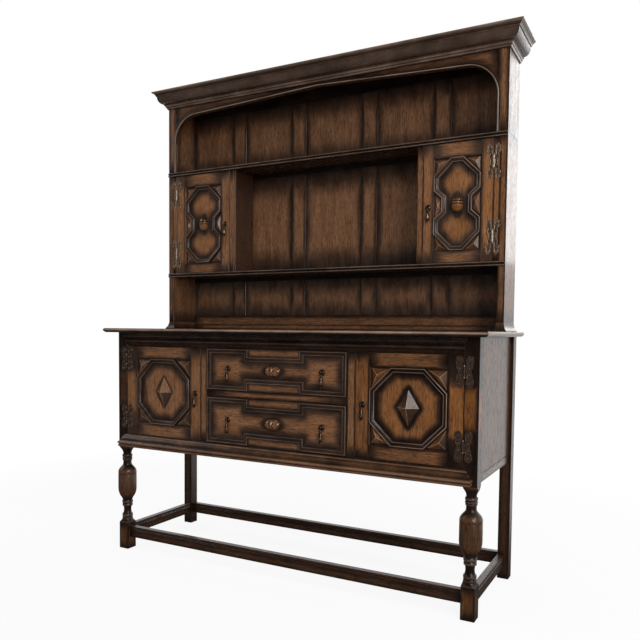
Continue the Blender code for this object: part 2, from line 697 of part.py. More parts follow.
def make_pivot(name, where, carrier=None):
    """An empty on a joint's axis."""
    pivot = bpy.data.objects.new(name, None)
    bpy.context.collection.objects.link(pivot)
    pivot.location = Vector(where)
    if carrier is not None:
        pivot.parent = carrier
        pivot.location = Vector(where) - world_place(carrier)
    return pivot


def world_place(pivot):
    """Where a chain of empties puts its last one."""
    place_sum = Vector((0.0, 0.0, 0.0))
    while pivot is not None:
        place_sum += pivot.location
        pivot = pivot.parent
    return place_sum


def hang(obj, pivot):
    """Parent a piece to an empty without moving it."""
    obj.parent = pivot
    obj.location = -world_place(pivot)


def octagon_outline(x_span, z_span):
    """An octagon that touches all four sides of its opening."""
    side = min(x_span[1] - x_span[0], z_span[1] - z_span[0])
    corner = side * (1 - 1 / (1 + math.sqrt(2))) / 2
    x0, x1 = x_span
    z0, z1 = z_span
    return [
        (x0 + corner, z0), (x1 - corner, z0), (x1, z0 + corner), (x1, z1 - corner),
        (x1 - corner, z1), (x0 + corner, z1), (x0, z1 - corner), (x0, z0 + corner),
    ]


def dumbbell_outline(x_span, z_span):
    """Two octagons, one above the other, run together at a narrow waist."""
    x0, x1 = x_span
    z0, z1 = z_span
    middle = (z0 + z1) / 2
    waist_half = WAIST_HEIGHT / 2
    slope_end = waist_half + RACK_WAIST * WAIST_SLOPE
    right = [
        (x1 - RACK_CORNER, z0), (x1, z0 + RACK_CORNER), (x1, middle - slope_end), (x1 - RACK_WAIST, middle - waist_half),
        (x1 - RACK_WAIST, middle + waist_half), (x1, middle + slope_end), (x1, z1 - RACK_CORNER), (x1 - RACK_CORNER, z1),
    ]
    return right + [(x0 + x1 - x, z) for x, z in reversed(right)]


def corner_spandrels(outline, x_span, z_span, base_y, material):
    """Three-sided pyramids that fill the corners outside a moulding."""
    pieces = []
    for x_edge in x_span:
        for z_edge in z_span:
            by_rail = [p for p in outline if abs(p[1] - z_edge) < OVERLAP]
            by_stile = [p for p in outline if abs(p[0] - x_edge) < OVERLAP]
            on_rail = min(by_rail, key=lambda p: abs(p[0] - x_edge))
            on_stile = min(by_stile, key=lambda p: abs(p[1] - z_edge))
            base, middle = shrunk([(x_edge, z_edge), on_rail, on_stile])
            pieces.append(pyramid("spandrel", base, middle, base_y, SPANDREL_HEIGHT, material))
    return pieces


def shrunk(polygon):
    """A polygon drawn in towards its middle by the spandrels' inset, and that middle."""
    count = len(polygon)
    middle = (sum(x for x, z in polygon) / count, sum(z for x, z in polygon) / count)
    nearest = min(edge_distance(middle, polygon[i - 1], polygon[i]) for i in range(count))
    centre = Vector(middle)
    share = 1 - SPANDREL_INSET / nearest
    return [tuple(centre.lerp(Vector(point), share)) for point in polygon], middle


def edge_distance(point, start, end):
    """How far a point lies from the line through two others."""
    line = Vector(end) - Vector(start)
    offset = Vector(point) - Vector(start)
    return abs(line.x * offset.y - line.y * offset.x) / line.length


def waist_blocks(outline, x_span, z_span, base_y, material):
    """Four-sided pyramids beside the waist of a double octagon."""
    half = (x_span[1] - x_span[0]) / 2
    middle = sum(z_span) / 2
    pieces = []
    for x_edge in x_span:
        near = [p for p in outline if abs(p[0] - x_edge) < half]
        near.sort(key=lambda p: abs(p[1] - middle))
        waist = sorted(near[:2], key=lambda p: p[1])
        ends = sorted(near[2:4], key=lambda p: p[1])
        base, centre = shrunk([ends[0], waist[0], waist[1], ends[1]])
        pieces.append(pyramid("waist_block", base, centre, base_y, SPANDREL_HEIGHT, material))
    return pieces


def make_base_door(side, sign, tones):
    """Framed door with an octagonal moulding and a diamond boss, hung on the front leg's post."""
    outer = POST_INNER - RUNNING
    inner = MUNTIN_INNER + MUNTIN_WIDTH + RUNNING
    z_span = (RAIL_TOP + RUNNING, TOP_RAIL_BOTTOM - RUNNING)
    x_span = between(sign, inner, outer)
    opening_x = between(sign, inner + BASE_STILE, outer - BASE_STILE)
    opening_z = (z_span[0] + BASE_DOOR_RAIL, z_span[1] - BASE_DOOR_RAIL)
    pivot_x = sign * (POST_INNER - RUNNING / 2)
    pivot = make_pivot("base_door_%s_hinge" % side, (pivot_x, FRONT - PIN_STANDOFF, 0.0))
    name = "base_door_%s_frame" % side
    frame = make_door_frame(name, x_span, z_span, opening_x, opening_z, FRONT, tones)
    pull_x = sign * (inner + BASE_STILE / 2)
    pull_z = z_span[0] + BASE_DOOR_PULL_RISE
    join(frame, *pull_fittings(pull_x, FRONT, pull_z, tones))
    hang(frame, pivot)

    panel_x = inset_span(opening_x, FIT)
    panel_z = inset_span(opening_z, FIT)
    face = FRONT + PANEL_RECESS
    panel_y = (face, face + PANEL_THICKNESS)
    panel = box("base_door_%s_panel" % side, panel_x, panel_y, panel_z, tones["oak_panel"])
    outline = octagon_outline(inset_span(panel_x, MOULD_EDGE), inset_span(panel_z, MOULD_EDGE))
    centre = (sum(panel_x) / 2, sum(panel_z) / 2)
    half_w, half_h = DIAMOND_WIDTH / 2, DIAMOND_HEIGHT / 2
    diamond = [(centre[0] - half_w, centre[1]), (centre[0], centre[1] - half_h),
               (centre[0] + half_w, centre[1]), (centre[0], centre[1] + half_h)]
    details = corner_spandrels(outline, panel_x, panel_z, face, tones["oak_panel"])
    details.append(moulding_band("band", outline, face, PANEL_RECESS + MOULD_PROUD, tones["oak_panel"]))
    details.append(pyramid("diamond", diamond, centre, face, DIAMOND_PROUD, tones["oak_panel"]))
    hang(join(panel, *details), pivot)
    make_drop("base_door_%s_drop" % side, pull_x, FRONT, pull_z, pivot, tones)
    for level, z in zip(LEVELS, inset_ends(z_span, BASE_HINGE_ENDS)):
        name = "hinge_base_%s_%s" % (side, level)
        make_hinge(name, sign, pivot, FRONT, z, BASE_HINGE_HEIGHT, BASE_BARREL, tones)


def make_door_frame(name, x_span, z_span, opening_x, opening_z, face, tones):
    """Stiles and rails of a door, as one frame."""
    frame = box(name, x_span, (face, face + DOOR_THICKNESS), z_span, tones["oak"])
    through = (face - OVERLAP, face + DOOR_THICKNESS + OVERLAP)
    return cut(frame, box("opening", opening_x, through, opening_z, tones["oak"]))


def make_rack_door(side, sign, width, tones):
    """Framed door with a double octagonal moulding and an acorn boss, hung on the rack's stile."""
    outer = RACK_STILE_INNER - RUNNING
    inner = RACK_STILE_INNER - width + RUNNING
    z_span = (LOWER_SHELF_TOP + RUNNING, UPPER_SHELF_BOTTOM - RUNNING)
    x_span = between(sign, inner, outer)
    lock_stile, hinge_stile = ((outer - inner) * share for share in (RACK_LOCK_STILE, RACK_HINGE_STILE))
    opening_x = between(sign, inner + lock_stile, outer - hinge_stile)
    opening_z = (z_span[0] + RACK_DOOR_BOTTOM_RAIL, z_span[1] - RACK_DOOR_TOP_RAIL)
    pivot_x = sign * (RACK_STILE_INNER - RUNNING / 2)
    pivot = make_pivot("rack_door_%s_hinge" % side, (pivot_x, RACK_FRONT - PIN_STANDOFF, 0.0))
    name = "rack_door_%s_frame" % side
    frame = make_door_frame(name, x_span, z_span, opening_x, opening_z, RACK_FRONT, tones)
    pull_x = sign * (inner + lock_stile / 2)
    pull_z = z_span[0] + RACK_DOOR_PULL_RISE
    join(frame, *pull_fittings(pull_x, RACK_FRONT, pull_z, tones))
    hang(frame, pivot)

    panel_x = inset_span(opening_x, FIT)
    panel_z = inset_span(opening_z, FIT)
    face = RACK_FRONT + PANEL_RECESS
    panel_y = (face, face + PANEL_THICKNESS)
    panel = box("rack_door_%s_panel" % side, panel_x, panel_y, panel_z, tones["oak_panel"])
    outline = dumbbell_outline(inset_span(panel_x, MOULD_EDGE), inset_span(panel_z, MOULD_EDGE))
    centre = (sum(panel_x) / 2, sum(panel_z) / 2)
    details = corner_spandrels(outline, panel_x, panel_z, face, tones["oak_panel"])
    details += waist_blocks(outline, panel_x, panel_z, face, tones["oak_panel"])
    details.append(moulding_band("band", outline, face, PANEL_RECESS + MOULD_PROUD, tones["oak_panel"]))
    size = (ACORN_HEIGHT, ACORN_WIDTH)
    details.append(split_turning("acorn", centre, size, "Z", face, tones["oak_panel"]))
    hang(join(panel, *details), pivot)
    make_drop("rack_door_%s_drop" % side, pull_x, RACK_FRONT, pull_z, pivot, tones)
    for level, z in zip(LEVELS, inset_ends(z_span, RACK_HINGE_ENDS)):
        name = "hinge_rack_%s_%s" % (side, level)
        make_hinge(name, sign, pivot, RACK_FRONT, z, RACK_HINGE_HEIGHT, RACK_BARREL, tones)


def leaf_plate(name, pin_x, away, face, z, height, tones):
    """A shaped hinge leaf, laid on a face on one side of the pin."""
    upper = []
    for across, up in LEAF_OUTLINE:
        upper.append((pin_x + away * (LEAF_START + across * LEAF_WIDTH), z + up * height / 2))
    lower = [(x, 2 * z - pz) for x, pz in reversed(upper)]
    y_span = (face - FIT - LEAF_THICKNESS, face - FIT)
    return prism(name, upper + lower, "Y", y_span, tones["bronze"])


def make_hinge(name, sign, pivot, face, z, height, barrel, tones):
    """Case leaf with two knuckles and the pin, and door leaf with the middle knuckle."""
    pin_x, pin_y = world_place(pivot).x, world_place(pivot).y
    third = barrel / 3
    low, high = z - barrel / 2, z + barrel / 2
    case_leaf = leaf_plate(name + "_case_leaf", pin_x, sign, face, z, height, tones)
    door_leaf = leaf_plate(name + "_door_leaf", pin_x, -sign, face, z, height, tones)
    leaf_y = (face - FIT - LEAF_THICKNESS, face - FIT)
    tab_reach = LEAF_START + TAB_REACH

    outer = circle((pin_x, pin_y), KNUCKLE_RADIUS, KNUCKLE_SIDES)
    parts = []
    for z_span in ((low, low + third - FIT), (high - third + FIT, high)):
        parts.append(prism("knuckle", outer, "Z", z_span, tones["bronze"]))
        tab_x = sorted((pin_x, pin_x + sign * tab_reach))
        parts.append(box("tab", tab_x, leaf_y, (z_span[0] + FIT, z_span[1] - FIT), tones["bronze"]))
    pin = circle((pin_x, pin_y), PIN_RADIUS, KNUCKLE_SIDES)
    parts.append(prism("pin", pin, "Z", (low + third / 2, high - third / 2), tones["bronze"]))
    join(case_leaf, *parts)

    z_span = (low + third + FIT, high - third - FIT)
    bore = circle((pin_x, pin_y), KNUCKLE_BORE, KNUCKLE_SIDES)
    knuckle = pierced("knuckle", outer, bore, "Z", z_span, tones["bronze"])
    tab_x = sorted((pin_x - sign * (KNUCKLE_BORE + OVERLAP / 2), pin_x - sign * tab_reach))
    tab = box("tab", tab_x, leaf_y, (z_span[0] + FIT, z_span[1] - FIT), tones["bronze"])
    hang(join(door_leaf, tab, knuckle), pivot)


def make_drawer(level, z_span, floor_z, tones):
    """Drawer box with its moulded front, and two drops. It runs on the board below it."""
    front_half = MUNTIN_INNER - RUNNING
    front_z = (z_span[0] + RUNNING, z_span[1] - RUNNING)
    runner = make_pivot("drawer_%s_slide" % level, (0.0, FRONT, sum(front_z) / 2))
    back_y = CASE_BACK_FACE - DRAWER_REAR_PLAY
    half = min(front_half, PARTITION_X - PARTITION_THICKNESS / 2) - DRAWER_SIDE_PLAY
    box_z = (floor_z + FIT, front_z[1] - DRAWER_TOP_PLAY)
    body = box("drawer_" + level, (-half, half), (FRONT + OVERLAP, back_y), box_z, tones["oak"])
    inside_y = (FRONT + DRAWER_FRONT_THICKNESS, back_y - DRAWER_WALL)
    inside_z = (box_z[0] + DRAWER_FLOOR, box_z[1] + OVERLAP)
    inside_x = (-half + DRAWER_WALL, half - DRAWER_WALL)
    cut(body, box("inside", inside_x, inside_y, inside_z, tones["oak"]))
    front_y = (FRONT, FRONT + DRAWER_FRONT_THICKNESS)
    front = box("front", (-front_half, front_half), front_y, front_z, tones["oak"])

    edge_x = front_half - DRAWER_MOULD_INSET
    low = front_z[0] + DRAWER_MOULD_INSET
    high = front_z[1] - DRAWER_MOULD_INSET
    notch = DRAWER_NOTCH_HALF
    depth = DRAWER_NOTCH_DEPTH
    right = [(notch, low + depth), (notch, low), (edge_x, low)]
    right += [(edge_x, high), (notch, high), (notch, high - depth)]
    outline = right + [(-x, z) for x, z in reversed(right)]
    details = [front, moulding_band("band", outline, FRONT, MOULD_PROUD, tones["oak_panel"])]
    middle = sum(front_z) / 2
    size = (DRAWER_BOSS_LENGTH, DRAWER_BOSS_HEIGHT)
    details.append(split_turning("boss", (0.0, middle), size, "X", FRONT, tones["oak_panel"]))
    pull_z = middle + DRAWER_PULL_RISE
    for side, sign in SIDES:
        details += pull_fittings(sign * DRAWER_PULL_X, FRONT, pull_z, tones)
    hang(join(body, *details), runner)
    for side, sign in SIDES:
        make_drop("drawer_%s_%s_drop" % (level, side), sign * DRAWER_PULL_X, FRONT, pull_z, runner, tones)


def make_rack_side(side, sign, tones):
    """Rack side: a board with a flared foot, and the front stile beside the cupboard."""
    flare = ((0.0, 1.0), (0.10, 1.0), (0.22, 0.72), (0.45, 0.34), (0.75, 0.10), (1.0, 0.0))
    rings = []
    for share, spread in flare:
        z = BOARD_TOP + FIT + share * RACK_FOOT_HEIGHT
        out = spread * RACK_FOOT_OUT
        x0, x1 = between(sign, RACK_INNER - out, RACK_OUTER + out)
        rings.append([(x0, RACK_FRONT - out, z), (x1, RACK_FRONT - out, z), (x1, BACK, z), (x0, BACK, z)])
    rings.append([(x, y, RACK_UNDER_BOARD - FIT) for x, y, z in rings[-1]])
    board = loft("rack_side_" + side, rings, tones["oak"])
    stile_x = between(sign, RACK_STILE_INNER, RACK_INNER + OVERLAP)
    stile_y = (RACK_FRONT, RACK_FRONT + RACK_STILE_THICKNESS)
    stile = box("stile", stile_x, stile_y, (LOWER_SHELF_TOP + FIT, UPPER_SHELF_BOTTOM - FIT), tones["oak"])
    join(board, stile)
    notch_x = between(sign, RACK_INNER - OVERLAP, RACK_OUTER + OVERLAP)
    notch_y = (RACK_FRONT - OVERLAP, RACK_FRONT + FRIEZE_THICKNESS + FIT)
    frieze_seat = box("frieze_seat", notch_x, notch_y, (UPPER_SHELF_TOP, RACK_TOP), tones["oak"])
    seat_x = between(sign, RACK_INNER - 2 * RACK_FOOT_OUT, RACK_INNER)
    seat_z = (BOARD_TOP - OVERLAP, BOARD_TOP + 2 * RACK_FOOT_HEIGHT)
    back_seat = box("back_seat", seat_x, (RACK_BACK_FACE - FIT, BACK + OVERLAP), seat_z, tones["oak"])
    cut(board, frieze_seat, back_seat)


def arch_points():
    """Half of the frieze's arch, from the right stile up to the peak in the middle."""
    half_width = RACK_OUTER - ARCH_STILE_WIDTH
    rise = math.atan2(ARCH_CORNER_DROP - ARCH_PEAK_DROP, half_width)
    turn = math.pi / 2 - rise
    reach = ARCH_CORNER_RADIUS * math.tan(turn / 2)
    centre = (half_width - ARCH_CORNER_RADIUS, CORNICE_BOTTOM - ARCH_CORNER_DROP - reach)
    arc = []
    for i in range(ARCH_STEPS + 1):
        swing = Vector((math.cos(turn * i / ARCH_STEPS), math.sin(turn * i / ARCH_STEPS)))
        arc.append(tuple(Vector(centre) + ARCH_CORNER_RADIUS * swing))
    return arc + [(0.0, CORNICE_BOTTOM - ARCH_PEAK_DROP)]


def make_rack_frieze(tones):
    """Arched board across the top of the rack, with stiles down to the upper shelf."""
    bottom = UPPER_SHELF_TOP + FIT
    top = RACK_UNDER_BOARD - FIT
    stile_x = RACK_OUTER - ARCH_STILE_WIDTH
    right = [(RACK_OUTER, top), (RACK_OUTER, bottom), (stile_x, bottom)] + arch_points()
    outline = right + [(-x, z) for x, z in reversed(right[:-1])]
    y_span = (RACK_FRONT, RACK_FRONT + FRIEZE_THICKNESS)
    prism("rack_frieze", outline, "Y", y_span, tones["oak"])


def make_shelf(name, bottom, tones):
    """Shelf between the rack sides, with a nosing across their front edges."""
    inner = RACK_INNER - FIT
    outer = RACK_OUTER - SHELF_END_SETBACK
    front = RACK_FRONT - SHELF_NOSING
    nose_back = RACK_FRONT - FIT
    back = RACK_BACK_FACE - FIT
    right = [(outer, front), (outer, nose_back), (inner, nose_back), (inner, back)]
    outline = right + [(-x, y) for x, y in reversed(right)]
    ease(prism(name, outline, "Z", (bottom, bottom + SHELF_THICKNESS), tones["oak_dark"]), BOARD_EASE / 2)


def make_cupboard_partition(side, sign, width, tones):
    """Upright board between a rack cupboard and the open middle bay."""
    outer = RACK_STILE_INNER - width
    x_span = between(sign, outer - CUPBOARD_PARTITION_THICKNESS, outer)
    y_span = (RACK_FRONT, RACK_BACK_FACE - FIT)
    z_span = (LOWER_SHELF_TOP + FIT, UPPER_SHELF_BOTTOM - FIT)
    ease(box("cupboard_partition_" + side, x_span, y_span, z_span, tones["oak"]), BOARD_EASE / 2)


def make_rack_back(tones):
    """Framed and panelled back, five panels wide in each of the three bays."""
    half = RACK_INNER - FIT
    z_span = (BOARD_TOP + FIT, RACK_UNDER_BOARD - FIT)
    back = box("rack_back", (-half, half), (RACK_BACK_FACE, BACK), z_span, tones["oak_panel"])
    edges = [-half]
    for x in RACK_MUNTIN_X:
        edges += [x - RACK_MUNTIN_WIDTH / 2, x + RACK_MUNTIN_WIDTH / 2]
    edges.append(half)
    columns = list(zip(edges[0::2], edges[1::2]))
    columns[0] = (columns[0][0] + RACK_HIDDEN_RAIL, columns[0][1])
    columns[-1] = (columns[-1][0], columns[-1][1] - RACK_HIDDEN_RAIL)
    rows = (
        (BOARD_TOP + RACK_BOTTOM_RAIL, LOWER_SHELF_BOTTOM - RACK_HIDDEN_RAIL / 2),
        (LOWER_SHELF_TOP + RACK_HIDDEN_RAIL / 2, UPPER_SHELF_BOTTOM - RACK_HIDDEN_RAIL / 2),
        (UPPER_SHELF_TOP + RACK_HIDDEN_RAIL / 2, CORNICE_BOTTOM - RACK_HIDDEN_RAIL / 2),
    )
    depth = (RACK_BACK_FACE - OVERLAP, RACK_BACK_FACE + RACK_PANEL_DEPTH)
    cut(back, *[box("recess", column, depth, row, tones["oak_panel"]) for row in rows for column in columns])
    plinth_y = (RACK_BACK_FACE - RACK_PLINTH_OUT, RACK_BACK_FACE + OVERLAP)
    inner = half - RACK_FOOT_OUT
    plinth_z = (BOARD_TOP + FIT, BOARD_TOP + RACK_PLINTH_HEIGHT)
    join(back, box("plinth", (-inner, inner), plinth_y, plinth_z, tones["oak_panel"]))


def cornice_section():
    """Fillets, a large ovolo and a crown, from the bottom up."""
    start = CORNICE_FILLETS[-1]
    end, *crown = [(out, CORNICE_HEIGHT - drop) for out, drop in (CORNICE_OVOLO_END, *CORNICE_CROWN)]
    ovolo = []
    for i in range(1, OVOLO_STEPS + 1):
        a = math.pi / 2 * i / OVOLO_STEPS
        out = start[0] + (end[0] - start[0]) * math.sin(a)
        rise = start[1] + (end[1] - start[1]) * (1 - math.cos(a))
        ovolo.append((out, rise))
    return list(CORNICE_FILLETS) + ovolo + crown


def make_rack_cornice(tones):
    """Cornice moulding on three sides, closed on top by the rack's top board."""
    cornice = returned_moulding(
        "rack_cornice", cornice_section(), RACK_OUTER, RACK_FRONT, BACK, CORNICE_BOTTOM, tones["oak_dark"]
    )
    x = RACK_OUTER + FIT
    z_span = (CORNICE_BOTTOM - OVERLAP, RACK_UNDER_BOARD)
    cut(cornice, box("inside", (-x, x), (RACK_FRONT - FIT, BACK + OVERLAP), z_span, tones["oak_dark"]))


def make_dresser():
    """Build every piece."""
    clear_scene()
    tones = make_materials()
    make_top_board(tones)
    make_stretchers(tones)
    make_base_back(tones)
    make_base_bottom(tones)
    make_top_rail(tones)
    make_drawer_divider(tones)
    make_drawer("lower", (RAIL_TOP, DIVIDER_BOTTOM), RAIL_TOP, tones)
    make_drawer("upper", (DIVIDER_TOP, TOP_RAIL_BOTTOM), DIVIDER_TOP, tones)
    make_rack_back(tones)
    make_rack_frieze(tones)
    make_rack_cornice(tones)
    make_shelf("shelf_lower", LOWER_SHELF_BOTTOM, tones)
    make_shelf("shelf_upper", UPPER_SHELF_BOTTOM, tones)
    widths = {"left": CUPBOARD_LEFT_OPENING, "right": CUPBOARD_RIGHT_OPENING}
    for side, sign in SIDES:
        make_front_leg(side, sign, tones)
        make_rear_leg(side, sign, tones)
        make_base_side(side, sign, tones)
        make_partition(side, sign, tones)
        make_rack_side(side, sign, tones)
        make_cupboard_partition(side, sign, widths[side], tones)
        make_base_door(side, sign, tones)
        make_rack_door(side, sign, widths[side], tones)


make_dresser()
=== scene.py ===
"""Oak kitchen dresser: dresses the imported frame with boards, mouldings, turnings and fittings."""
import math
import random

import bmesh
import bpy
import numpy as np
from bpy.props import FloatProperty, FloatVectorProperty, IntProperty, PointerProperty
from mathutils import Matrix, Vector


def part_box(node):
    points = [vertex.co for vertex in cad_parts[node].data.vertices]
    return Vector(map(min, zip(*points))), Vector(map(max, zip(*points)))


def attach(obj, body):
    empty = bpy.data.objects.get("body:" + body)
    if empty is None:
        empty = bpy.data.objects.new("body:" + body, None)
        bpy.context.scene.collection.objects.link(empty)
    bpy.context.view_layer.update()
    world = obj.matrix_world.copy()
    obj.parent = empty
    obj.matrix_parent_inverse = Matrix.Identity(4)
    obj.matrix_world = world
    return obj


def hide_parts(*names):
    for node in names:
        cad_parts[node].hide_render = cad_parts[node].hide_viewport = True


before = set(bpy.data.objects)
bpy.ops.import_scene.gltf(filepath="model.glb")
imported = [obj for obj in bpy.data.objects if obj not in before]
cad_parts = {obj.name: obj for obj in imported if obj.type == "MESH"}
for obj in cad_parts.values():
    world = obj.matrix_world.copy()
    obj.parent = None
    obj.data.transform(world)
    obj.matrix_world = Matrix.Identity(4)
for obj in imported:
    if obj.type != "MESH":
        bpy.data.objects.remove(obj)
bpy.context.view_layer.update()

bl_info = {
    "name": "Oak kitchen dresser",
    "version": (1, 0, 0),
    "blender": (4, 5, 0),
    "location": "View3D > Sidebar > Dresser",
    "description": "Builds an antique-stained oak dresser around its frame",
    "category": "Add Mesh",
}

SIDES = (("left", -1), ("right", 1))
LEVELS = ("lower", "upper")
ALONG_X, ALONG_Y, ALONG_Z = 0, 1, 2
QUARTER_TURN = math.radians(90)
# Depths of the two fronts and of the back, and how far uprights stand from the middle, in metres.
CASE_FRONT, RACK_FRONT, BACK = -0.2055, 0.0965, 0.2545
POST_INNER, RACK_INNER, RACK_OUTER = 0.681, 0.699, 0.725
DOOR_EDGE = 0.6795                # the hinged edge of every door
RAIL_THICKNESS = 0.022
PANEL_BACK = 0.008                # how far a door's panel lies behind its frame
PANEL_THICKNESS = 0.007
PANEL_STEP = 0.005                # mesh width of a door's panel
EDGE_STEP = 0.0007                # from a panel's edge to the moulding round it
BEAD_RISE = 0.014                 # how far the doors' mouldings stand up
BLOCK_GAP = 0.003                 # round the small pyramids
BLOCK_RISE = 0.011
BEAD_WIDTH = 0.017                # the mouldings of doors and drawers
JOINT = 0.0003                    # the small step at panels, knuckles and mouldings
FRONT_THICKNESS = 0.020           # drawer fronts and the frames of doors
MOST_FADE = 0.46                  # the most of a board that one of its dark edges may take
EASED_WEAR = 0.12                 # how far the eased edges of a board are rubbed bare
SHARP = math.radians(32)          # edges over this stay sharp on a smooth piece


def linear(hex_text):
    """An sRGB hex colour as linear values."""
    values = [int(hex_text[i:i + 2], 16) / 255 for i in (1, 3, 5)]
    return tuple(v / 12.92 if v <= 0.04045 else ((v + 0.055) / 1.055) ** 2.4 for v in values)


def length(name, description, default, **limits):
    """A size in metres that a user can change."""
    return FloatProperty(name=name, description=description, default=default, unit="LENGTH", **limits)


def colour(name, description, default):
    """A colour that a user can change."""
    return FloatVectorProperty(
        name=name, description=description, default=linear(default), subtype="COLOR", min=0, max=1)


class DresserSizes(bpy.types.PropertyGroup):
    """Small sizes of the joinery, which the frame leaves out."""
    arris: length("Arris", "How far the edges of boards are eased", 0.0007, min=0.0004, max=0.003)
    nosing: length("Nosing", "Rounding of the working top's edge", 0.0045, min=0.001, max=0.007)
    groove: length("Groove", "Depth of the stretchers' scratched lines", 0.0012, min=0.0003, max=0.003)
    turned_sides: IntProperty(
        name="Turned sides", description="Faces round a turned leg", default=56, min=12, max=128)
    field_step: length("Field step", "Mesh width of a shaded panel", 0.006, min=0.002, max=0.03)


class DresserColours(bpy.types.PropertyGroup):
    """Colours of the stained oak and the fittings."""
    dark_stain: colour("Dark stain", "Finish left along edges and in corners", "#180c06")
    brown_stain: colour("Brown stain", "Finish between the dark edges and the rubbed middle", "#432a19")
    rubbed_oak: colour("Rubbed oak", "Burnished middle of the frame members", "#7b5436")
    rubbed_panel: colour("Rubbed panel", "Burnished middle of the panels", "#7e5638")
    golden_oak: colour("Golden oak", "Bright oak that shows where the stain has worn off", "#965b22")
    # Worn edges share this colour with the painted sheen and with painted highlights on beads and the
    # working top's nose.
    worn_edge: colour("Worn edge", "Oak that shows where handling has worn an edge", "#a38b7a")
    bronze_dark: colour("Bronze", "Patina in the hollows of the fittings", "#33231d")
    bronze_light: colour("Rubbed bronze", "Handled high places of the fittings", "#826850")
    # Also painted on the rack hinges' barrels and rims as a painted highlight.
    bronze_worn: colour("Worn bronze", "Bare metal where hands and doors have polished it", "#c9b6a3")


def sizes():
    """The sizes in the scene."""
    return bpy.context.scene.dresser_sizes


def colours():
    """The colours in the scene."""
    return bpy.context.scene.dresser_colours


def add_node(tree, kind, inputs=None, **settings):
    """Adds a node with its settings. An input is a value or the socket that feeds it."""
    node = tree.nodes.new(kind)
    for key, value in settings.items():
        setattr(node, key, value)
    for key, value in (inputs or {}).items():
        if isinstance(value, bpy.types.NodeSocket):
            tree.links.new(value, node.inputs[key])
        else:
            node.inputs[key].default_value = value
    return node


def new_material(name):
    """An empty node material with its output and surface shader."""
    material = bpy.data.materials.new(name)
    material.use_nodes = True
    tree = material.node_tree
    tree.nodes.clear()
    shader = add_node(tree, "ShaderNodeBsdfPrincipled")
    add_node(tree, "ShaderNodeOutputMaterial", {"Surface": shader.outputs[0]})
    return material, tree, shader


def streaks(tree, fibre, along, across, detail):
    """Noise drawn out along the grain. The sizes are those of one streak, in millimetres."""
    scale = (1000 / along, 1000 / across, 1000 / across)
    place = add_node(tree, "ShaderNodeVectorMath", {0: fibre, 1: scale}, operation="MULTIPLY")
    return add_node(tree, "ShaderNodeTexNoise", {
        "Vector": place.outputs[0], "Scale": 1.0, "Detail": detail, "Roughness": 0.6}).outputs["Fac"]


def remap(tree, value, low, high, to_low, to_high, curve="LINEAR"):
    """Stretches a value from one range to another."""
    return add_node(tree, "ShaderNodeMapRange", {
        "Value": value, "From Min": low, "From Max": high, "To Min": to_low, "To Max": to_high},
        interpolation_type=curve).outputs["Result"]


def maths(tree, operation, first, second):
    """One sum of two values."""
    return add_node(tree, "ShaderNodeMath", {0: first, 1: second}, operation=operation).outputs[0]


